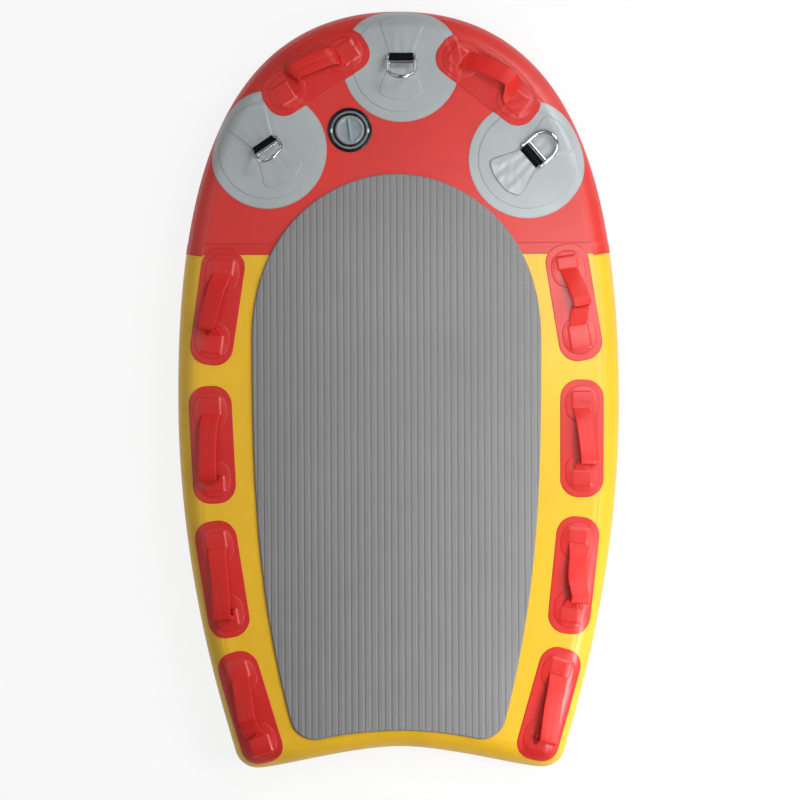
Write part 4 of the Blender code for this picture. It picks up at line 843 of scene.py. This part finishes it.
def fan_relief(axes, bar, side, crisp):
    """Pleats that run out from the fan's neck; the crisp fan has crinkles and a curled end too."""
    def relief(plan, depth):
        local = (plan - bar) @ axes.T
        along, across = np.abs(local[:, 0]), local[:, 1]
        spread = across / (0.030 + 0.33 * along)
        pleat = 0.5 + 0.5 * np.cos(spread * 11.0 + 1.3 * side + 0.8 * np.sin(along * 40))
        fade = np.exp(-along / 0.030)
        ripple = np.sin(along * 170 + spread * 5) * np.sin(spread * 7 + along * 60)
        ripple += 0.7 * np.sin(along * 95 - across * 210) * np.sin(across * 160 + along * 120)
        ripple = 0.5 + 0.4 * ripple
        if not crisp:
            return smooth(depth / 0.005) * (0.0014 * pleat * (fade + 0.14) + 0.00025 * ripple)
        crinkles = (0.0002 + 0.0008 * smooth((along - 0.022) / 0.030)) * ripple
        curl = 0.0018 * smooth((along - 0.038) / 0.035) * (0.7 + 0.3 * pleat)
        return smooth(depth / 0.0012) * (0.0009 * pleat * (fade + 0.45) + crinkles + curl)
    return relief


def disc_relief(axes, bar, seed):
    """Fine creases of a cover disc that run away from its ring."""
    def relief(plan, depth):
        local = (plan - bar) @ axes.T
        angle, reach = np.arctan2(local[:, 1], local[:, 0]), np.hypot(local[:, 0], local[:, 1])
        folds = np.zeros(len(plan))
        for k, (way, strength) in enumerate(((0.9, 1.0), (-1.1, 0.8), (2.3, 0.9), (-2.2, 0.7), (1.6, 0.5))):
            off = np.angle(np.exp(1j * (angle - way - 0.16 * math.sin(seed * 2.1 + k * 1.7))))
            folds += strength * np.exp(-(off * np.maximum(reach, 0.02) / 0.0016) ** 2)
        return 0.00045 * folds * smooth((reach - 0.030) / 0.01) * smooth(depth / 0.010)
    return relief


def build_sheets(name, axes, centre, bar):
    """Base disc, cover disc and the fan's two halves."""
    def circle(radius):
        return centre + radius * arc(0, 2, round(math.tau * radius / 0.0045))

    grey = "grey_pvc"
    laid_sheet(f"{name}_base_disc", circle(BASE_RADIUS), DISC, lap_lift, grey, [f"{name}_base"], None, 0.0055)
    laid_sheet(f"{name}_cover_disc", circle(COVER_RADIUS), COVER, lambda plan: lap_lift(plan) + DISC, grey,
               [f"{name}_cover"], disc_relief(axes, bar, sum(map(ord, name)) % 7), 0.0040)
    for side, part, nodes in ((-1, "inner", [f"{name}_fan_strap"]), (1, "outer", [])):
        crisp = side < 0 and name == "tow_right"
        # The crisp fan takes the grey sheet with a painted highlight and a painted shadow round its rim.
        thickness, width, look = (0.0011, 0.0007, "grey_fan_painted_light") if crisp else (0.0010, 0.0036, grey)
        relief = fan_relief(axes, bar, side, crisp)
        laid_sheet(f"{name}_fan_{part}", fan_outline(side, crisp) @ axes + bar, thickness,
                   lambda plan: lap_lift(plan) + DISC + COVER, look, nodes, relief, 0.0028, width)


def build_loop(name, axes, bar):
    """Black woven loop over the ring's bar, its two feet stitched down to the fan."""
    inner, foot, half, thick = 0.0039, 0.0106, 0.0266, 0.0019
    floor, bar_z = THICKNESS + 0.0044, THICKNESS + BAR_HEIGHT
    feet = [(foot, floor - 0.0004), (inner + 0.0028, floor - 0.0002), (inner + 0.0008, floor + 0.0004)]
    line = [(-a, z) for a, z in feet]
    line += [(inner * c, bar_z + inner * s) for c, s in arc(1.02, -0.02, 13)]
    line = corner_cut(np.array(line + feet[::-1]), 2)
    along = np.gradient(line, axis=0)
    normals = np.column_stack((-along[:, 1], along[:, 0])) / np.linalg.norm(along, axis=1)[:, None]
    section = flat_section(half - 0.0008, thick, 13,
                           [(half - 0.0002, thick * 0.8), (half, thick / 2), (half - 0.0002, thick * 0.2)])
    points, uv = [], []
    for (a, z), normal, reached in zip(line, normals, reach_along(line)):
        for v, w in section:
            points.append((*(np.array((a + normal[0] * w, v)) @ axes + bar), z + normal[1] * w))
            uv.append((v, reached))
    piece(f"{name}_loop", points, tube_faces(len(line), len(section), "capped"), "black_webbing",
          [f"{name}_webbing_loop"], uv=uv)


def swept_ring(line, radius, steps, ends="capped"):
    """Round tube along a path, radius one number or one for each point."""
    line = np.array(line)
    if ends == "joined":
        ways = np.roll(line, -1, axis=0) - np.roll(line, 1, axis=0)
    else:
        ways = np.gradient(line, axis=0)
    points, circle = [], arc(0, 2, steps)
    for at, way, r in zip(line, ways, np.broadcast_to(radius, len(line))):
        way = unit(way)
        side = unit(np.cross(way, (0, 0, 1.0)))
        up = np.cross(side, way)
        points += [at + r * (c * side + s * up) for c, s in circle]
    return points, tube_faces(len(line), steps, ends)


def build_ring(name, axes, bar, outwards, elevation_deg):
    """Polished D-ring with a second bar and swelled bar ends."""
    wide, corner = RING_HALF, RING_CORNER
    bow_centre = RING_LENGTH - wide
    right = [(wide - corner + corner * s, corner - corner * c, 0) for c, s in arc(0, 0.5, 7)]
    right += [(wide, y, 0) for y in np.linspace(corner, bow_centre, 8)[1:-1]]
    bow = [(wide * c, bow_centre + wide * s, 0) for c, s in arc(0, 1, 41)]
    line = right + bow + [(-x, y, 0) for x, y, _ in reversed(right)]
    line += [(x, 0, 0) for x in np.linspace(corner - wide, wide - corner, 12)[1:-1]]
    wire = [WIRE - 0.0002 + 0.0012 * float(smooth((y - 0.004) / 0.012)) for _, y, _ in line]
    crossbar = [(x, CROSSBAR_AT, 0) for x in np.linspace(-wide, wide, 9)]
    tubes = [swept_ring(line, wire, 18, "joined"), swept_ring(crossbar, CROSSBAR, 14)]
    swell = [0.0036 + 0.0011 * math.sin(math.pi * i / 10) for i in range(9)] + [0.0030, 0.0012]
    for sign in (-1, 1):
        nub = [(sign * (wide - 0.0034 + d), 0, 0) for d in np.linspace(0, 0.0084, 11)]
        tubes.append(swept_ring(nub, swell, 16))
    points, faces = [], []
    for tube, tube_sides in tubes:
        faces += [tuple(v + len(points) for v in f) for f in tube_sides]
        points += tube
    out = Vector((*axes[0], 0)) * (1 if outwards else -1)
    hinge = out.cross(Vector((0, 0, 1)))
    lean = math.radians(elevation_deg)
    bow = out * math.cos(lean) + Vector((0, 0, math.sin(lean)))
    turn = Matrix((hinge, bow, hinge.cross(bow))).transposed().to_4x4()
    at = Matrix.Translation((*bar, THICKNESS + BAR_HEIGHT)) @ turn
    face_outwards(piece(f"{name}_d_ring", [tuple(at @ Vector(p)) for p in points], faces, "stainless_steel",
                        [f"{name}_ring"], name.replace("tow", "ring"), sharp_deg=60))


def build_tows():
    for name, (*_, outwards, elevation) in TOWS.items():
        axes, centre = TOW_FRAMES[name]
        bar = centre + BAR_OFFSET * axes[0]
        build_sheets(name, axes, centre, bar)
        build_loop(name, axes, bar)
        build_ring(name, axes, bar, outwards, elevation)


# Valve

def lathe(name, profile, material, nodes, body="root", steps=72, bevel=0.0004, closed=True):
    """Turned piece with eased corners; its profile is (radius, height over the deck) in millimetres."""
    eased, profile = [], np.array(profile) / 1000
    for i, here in enumerate(profile):
        if not closed and i in (0, len(profile) - 1):
            eased.append(here)
            continue
        for neighbour in (profile[i - 1], profile[(i + 1) % len(profile)]):
            size = np.linalg.norm(neighbour - here)
            eased.append(here + (neighbour - here) / size * min(bevel, size * 0.4))
    circle = arc(0, 2, steps)
    points = [(*(VALVE_CENTRE + r * way), THICKNESS + z) for r, z in eased for way in circle]
    faces = tube_faces(len(eased), steps, "joined" if closed else "open")
    face_outwards(piece(name, points, faces, material, nodes, body, sharp_deg=35), 1e-6)


def build_tabs():
    """Two oval tabs on the valve's bare ring, domed on top; their pale colour is a painted highlight."""
    for sign, side in ((-1, "left"), (1, "right")):
        points = []
        for turn in np.linspace(0, math.pi / 2, 7):
            for c, s in arc(0, 2, 20) * math.cos(turn):
                plan = VALVE_CENTRE + (sign * 0.0412 + 0.0030 * c, 0.0056 * s - 0.0015)
                points.append((*plan, THICKNESS + 0.0024 + 0.0018 * math.sin(turn)))
        piece(f"valve_plate_tab_{side}", points, grid_faces(7, 20, closed=True), "tab_painted_highlight", sharp_deg=180)


def build_coil():
    """The valve's spring, on a mesh of its own."""
    steps = 24 * COIL_TURNS + 1
    plan = VALVE_CENTRE + COIL_RADIUS * arc(0, 2 * COIL_TURNS, steps)
    line = np.column_stack((plan, np.linspace(COIL_LOW, COIL_HIGH, steps)))
    coil = piece("valve_coil", *swept_ring(line, COIL_WIRE, 10), "stainless_steel", ["valve_spring"],
                 sharp_deg=60)
    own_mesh(coil)


def build_cap():
    """Turning cap with a raised rim, and the tapered grip bar across it."""
    top, outer, inner = CAP_TOP * 1000, CAP_RADIUS * 1000, CAP_INNER * 1000
    lathe("valve_lid", [(0, top - 0.4), (12, top - 0.4), (inner - 3, top), (inner - 0.6, top + 2.1),
                        (inner + 1, top + 2.4), (outer - 2.2, top + 2.2), (outer - 0.4, top + 0.8),
                        (outer, top - 1.2), (outer, 4.4), (outer - 3, 4.4), (outer - 3, 8.6), (0, 8.6)],
          "grey_plastic", ["valve_cap"], "valve_cap", 96, closed=False)
    turn = CAP_BAR_TURN_DEG / 180
    ways = arc(turn, turn + 0.5, 2)
    points = []
    for u in np.linspace(-1, 1, 25):
        closing = math.sqrt(1 - abs(u) ** 7)
        half, high = (0.0052 - 0.0014 * u) * (0.55 + 0.45 * closing), 0.0047 * (0.35 + 0.65 * closing)
        for v in np.linspace(-1, 1, 15):
            along = CAP_INNER * 0.985 * math.copysign(abs(u) ** 0.85, u)
            points.append((*(np.array((along, v * half)) @ ways + VALVE_CENTRE),
                           THICKNESS + CAP_TOP - 0.0006 + high * (1 - abs(v) ** 2.6)))
    piece("valve_lid_bar", points, [f[::-1] for f in grid_faces(25, 15)], "grey_plastic", (), "valve_cap",
          sharp_deg=60)


def build_valve():
    """Valve: black plate with a bare ring and two tabs painted pale as a highlight, sprung poppet inside,
    turning cap on top.
    """
    lathe("valve_plate_ring", [(34.1, 3), (37.8, 3), (38.1, 2.2), (42.7, 2.2), (43, 3.2), (48.4, 3.2),
                               (50, 1.6), (50, 0.1), (34.1, 0.1)], "black_plastic", ["valve_plate"], steps=96)
    lathe("valve_plate_inlay", [(38.2, 2.6), (42.6, 2.6), (42.6, 2), (38.2, 2)],
          "grey_ring", [], steps=96, bevel=0.0002)
    build_tabs()
    lathe("valve_housing", [(15, 6.4), (19.7, 6.4), (19.7, 4.1), (33.2, 4.1), (33.2, 1.6), (20, 1.6),
                            (20, -42), (8, -42), (8, -40), (17, -40), (17, -15), (10, -15), (10, -12),
                            (15, -12)], "black_plastic", ["valve_body"])
    lathe("valve_lid_seal", [(15.3, 8.3), (19.7, 8.3), (19.7, 6.7), (15.3, 6.7)],
          "rubber", ["valve_cap_seal"], "cap_seal", bevel=0.0005)
    lathe("valve_stem_seal", [(3.3, -15.3), (12.5, -15.3), (12.5, -16.9), (3.3, -16.9)],
          "rubber", ["valve_poppet_seal"], "valve_poppet", bevel=0.0003)
    lathe("valve_button", [(0, -2.5), (6.5, -2.5), (6.5, -5), (3, -5), (3, -17.2), (12.5, -17.2),
                           (12.5, -19.7), (0, -19.7)],
          "grey_plastic", ["valve_poppet"], "valve_poppet", closed=False)
    build_coil()
    build_cap()


def dress_nodes():
    """Finishes of the solids that are shown as they are, all inside the hull."""
    for node, material in (("drop_stitch_core", "polyester_cloth"), ("valve_nut", "black_plastic"),
                           ("valve_gasket", "rubber")):
        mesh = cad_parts[node].data
        mesh.materials.clear()
        mesh.materials.append(MATERIALS[material])


# Stage

def build_floor():
    """Pale floor that camera and mirror rays see nearly white."""
    material = new_material("pale_floor", Roughness=0.9, Base_Color=(0.86, 0.86, 0.86, 1))[0]
    tree = material.node_tree
    rays = link(tree, "LightPath").outputs
    shown = rays["Is Camera Ray"]
    for kind in ("Glossy", "Transmission"):
        shown = maths("MAXIMUM", shown, rays[f"Is {kind} Ray"])
    plain = tree.nodes["Principled BSDF"].outputs[0]
    glow = link(tree, "Emission", {"Color": (1, 1, 1, 1), "Strength": 1.0}).outputs[0]
    mixed = link(tree, "MixShader", {0: maths("MULTIPLY", shown, 0.86), 1: plain, 2: glow}).outputs[0]
    tree.links.new(mixed, tree.nodes["Material Output"].inputs["Surface"])
    mesh = bpy.data.meshes.new("floor")
    corners = [(-30, -30), (30, -30), (30, 30), (-30, 30)]
    mesh.from_pydata([(*corner, -0.001) for corner in corners], [], [(0, 1, 2, 3)])
    mesh.materials.append(material)
    added("floor", mesh)


def build_light():
    """Plain soft light: a grey sky, lighter at its horizon, and the lamps."""
    world = bpy.context.scene.world = bpy.data.worlds.new("studio")
    world.use_nodes = True
    tree = world.node_tree
    height = link(tree, "SeparateXYZ", {0: link(tree, "TexCoord").outputs["Generated"]}).outputs["Z"]
    tree.nodes["Background"].inputs["Color"].default_value = (1, 1, 1, 1)
    tree.links.new(span(height, *SKY, 0.0, 1.0), tree.nodes["Background"].inputs["Strength"])
    for name, (at, aim, size, power) in LAMPS.items():
        lamp = bpy.data.lights.new(name, "AREA")
        lamp.shape = "RECTANGLE"
        lamp.size, lamp.size_y = size
        lamp.energy = power
        obj = added(name, lamp)
        obj.location = at
        obj.rotation_euler = (Vector(aim) - Vector(at)).to_track_quat("-Z", "Y").to_euler()
        obj.visible_camera = False


def build_camera():
    """Camera straight above with a long lens, turned a little as in the photograph."""
    scene = bpy.context.scene
    scene.view_settings.view_transform = "Standard"
    camera = bpy.data.cameras.new("camera")
    camera.lens, camera.sensor_width, camera.clip_end = CAMERA_LENS, 36, 60
    scene.camera = added("camera", camera)
    scene.camera.location = CAMERA_AT
    scene.camera.rotation_euler = (0, 0, math.radians(CAMERA_ROLL_DEG))


build_deck()
build_bands()
build_tapes()
build_pad()
build_handles()
build_tows()
build_valve()
dress_nodes()
build_floor()
build_light()
build_camera()
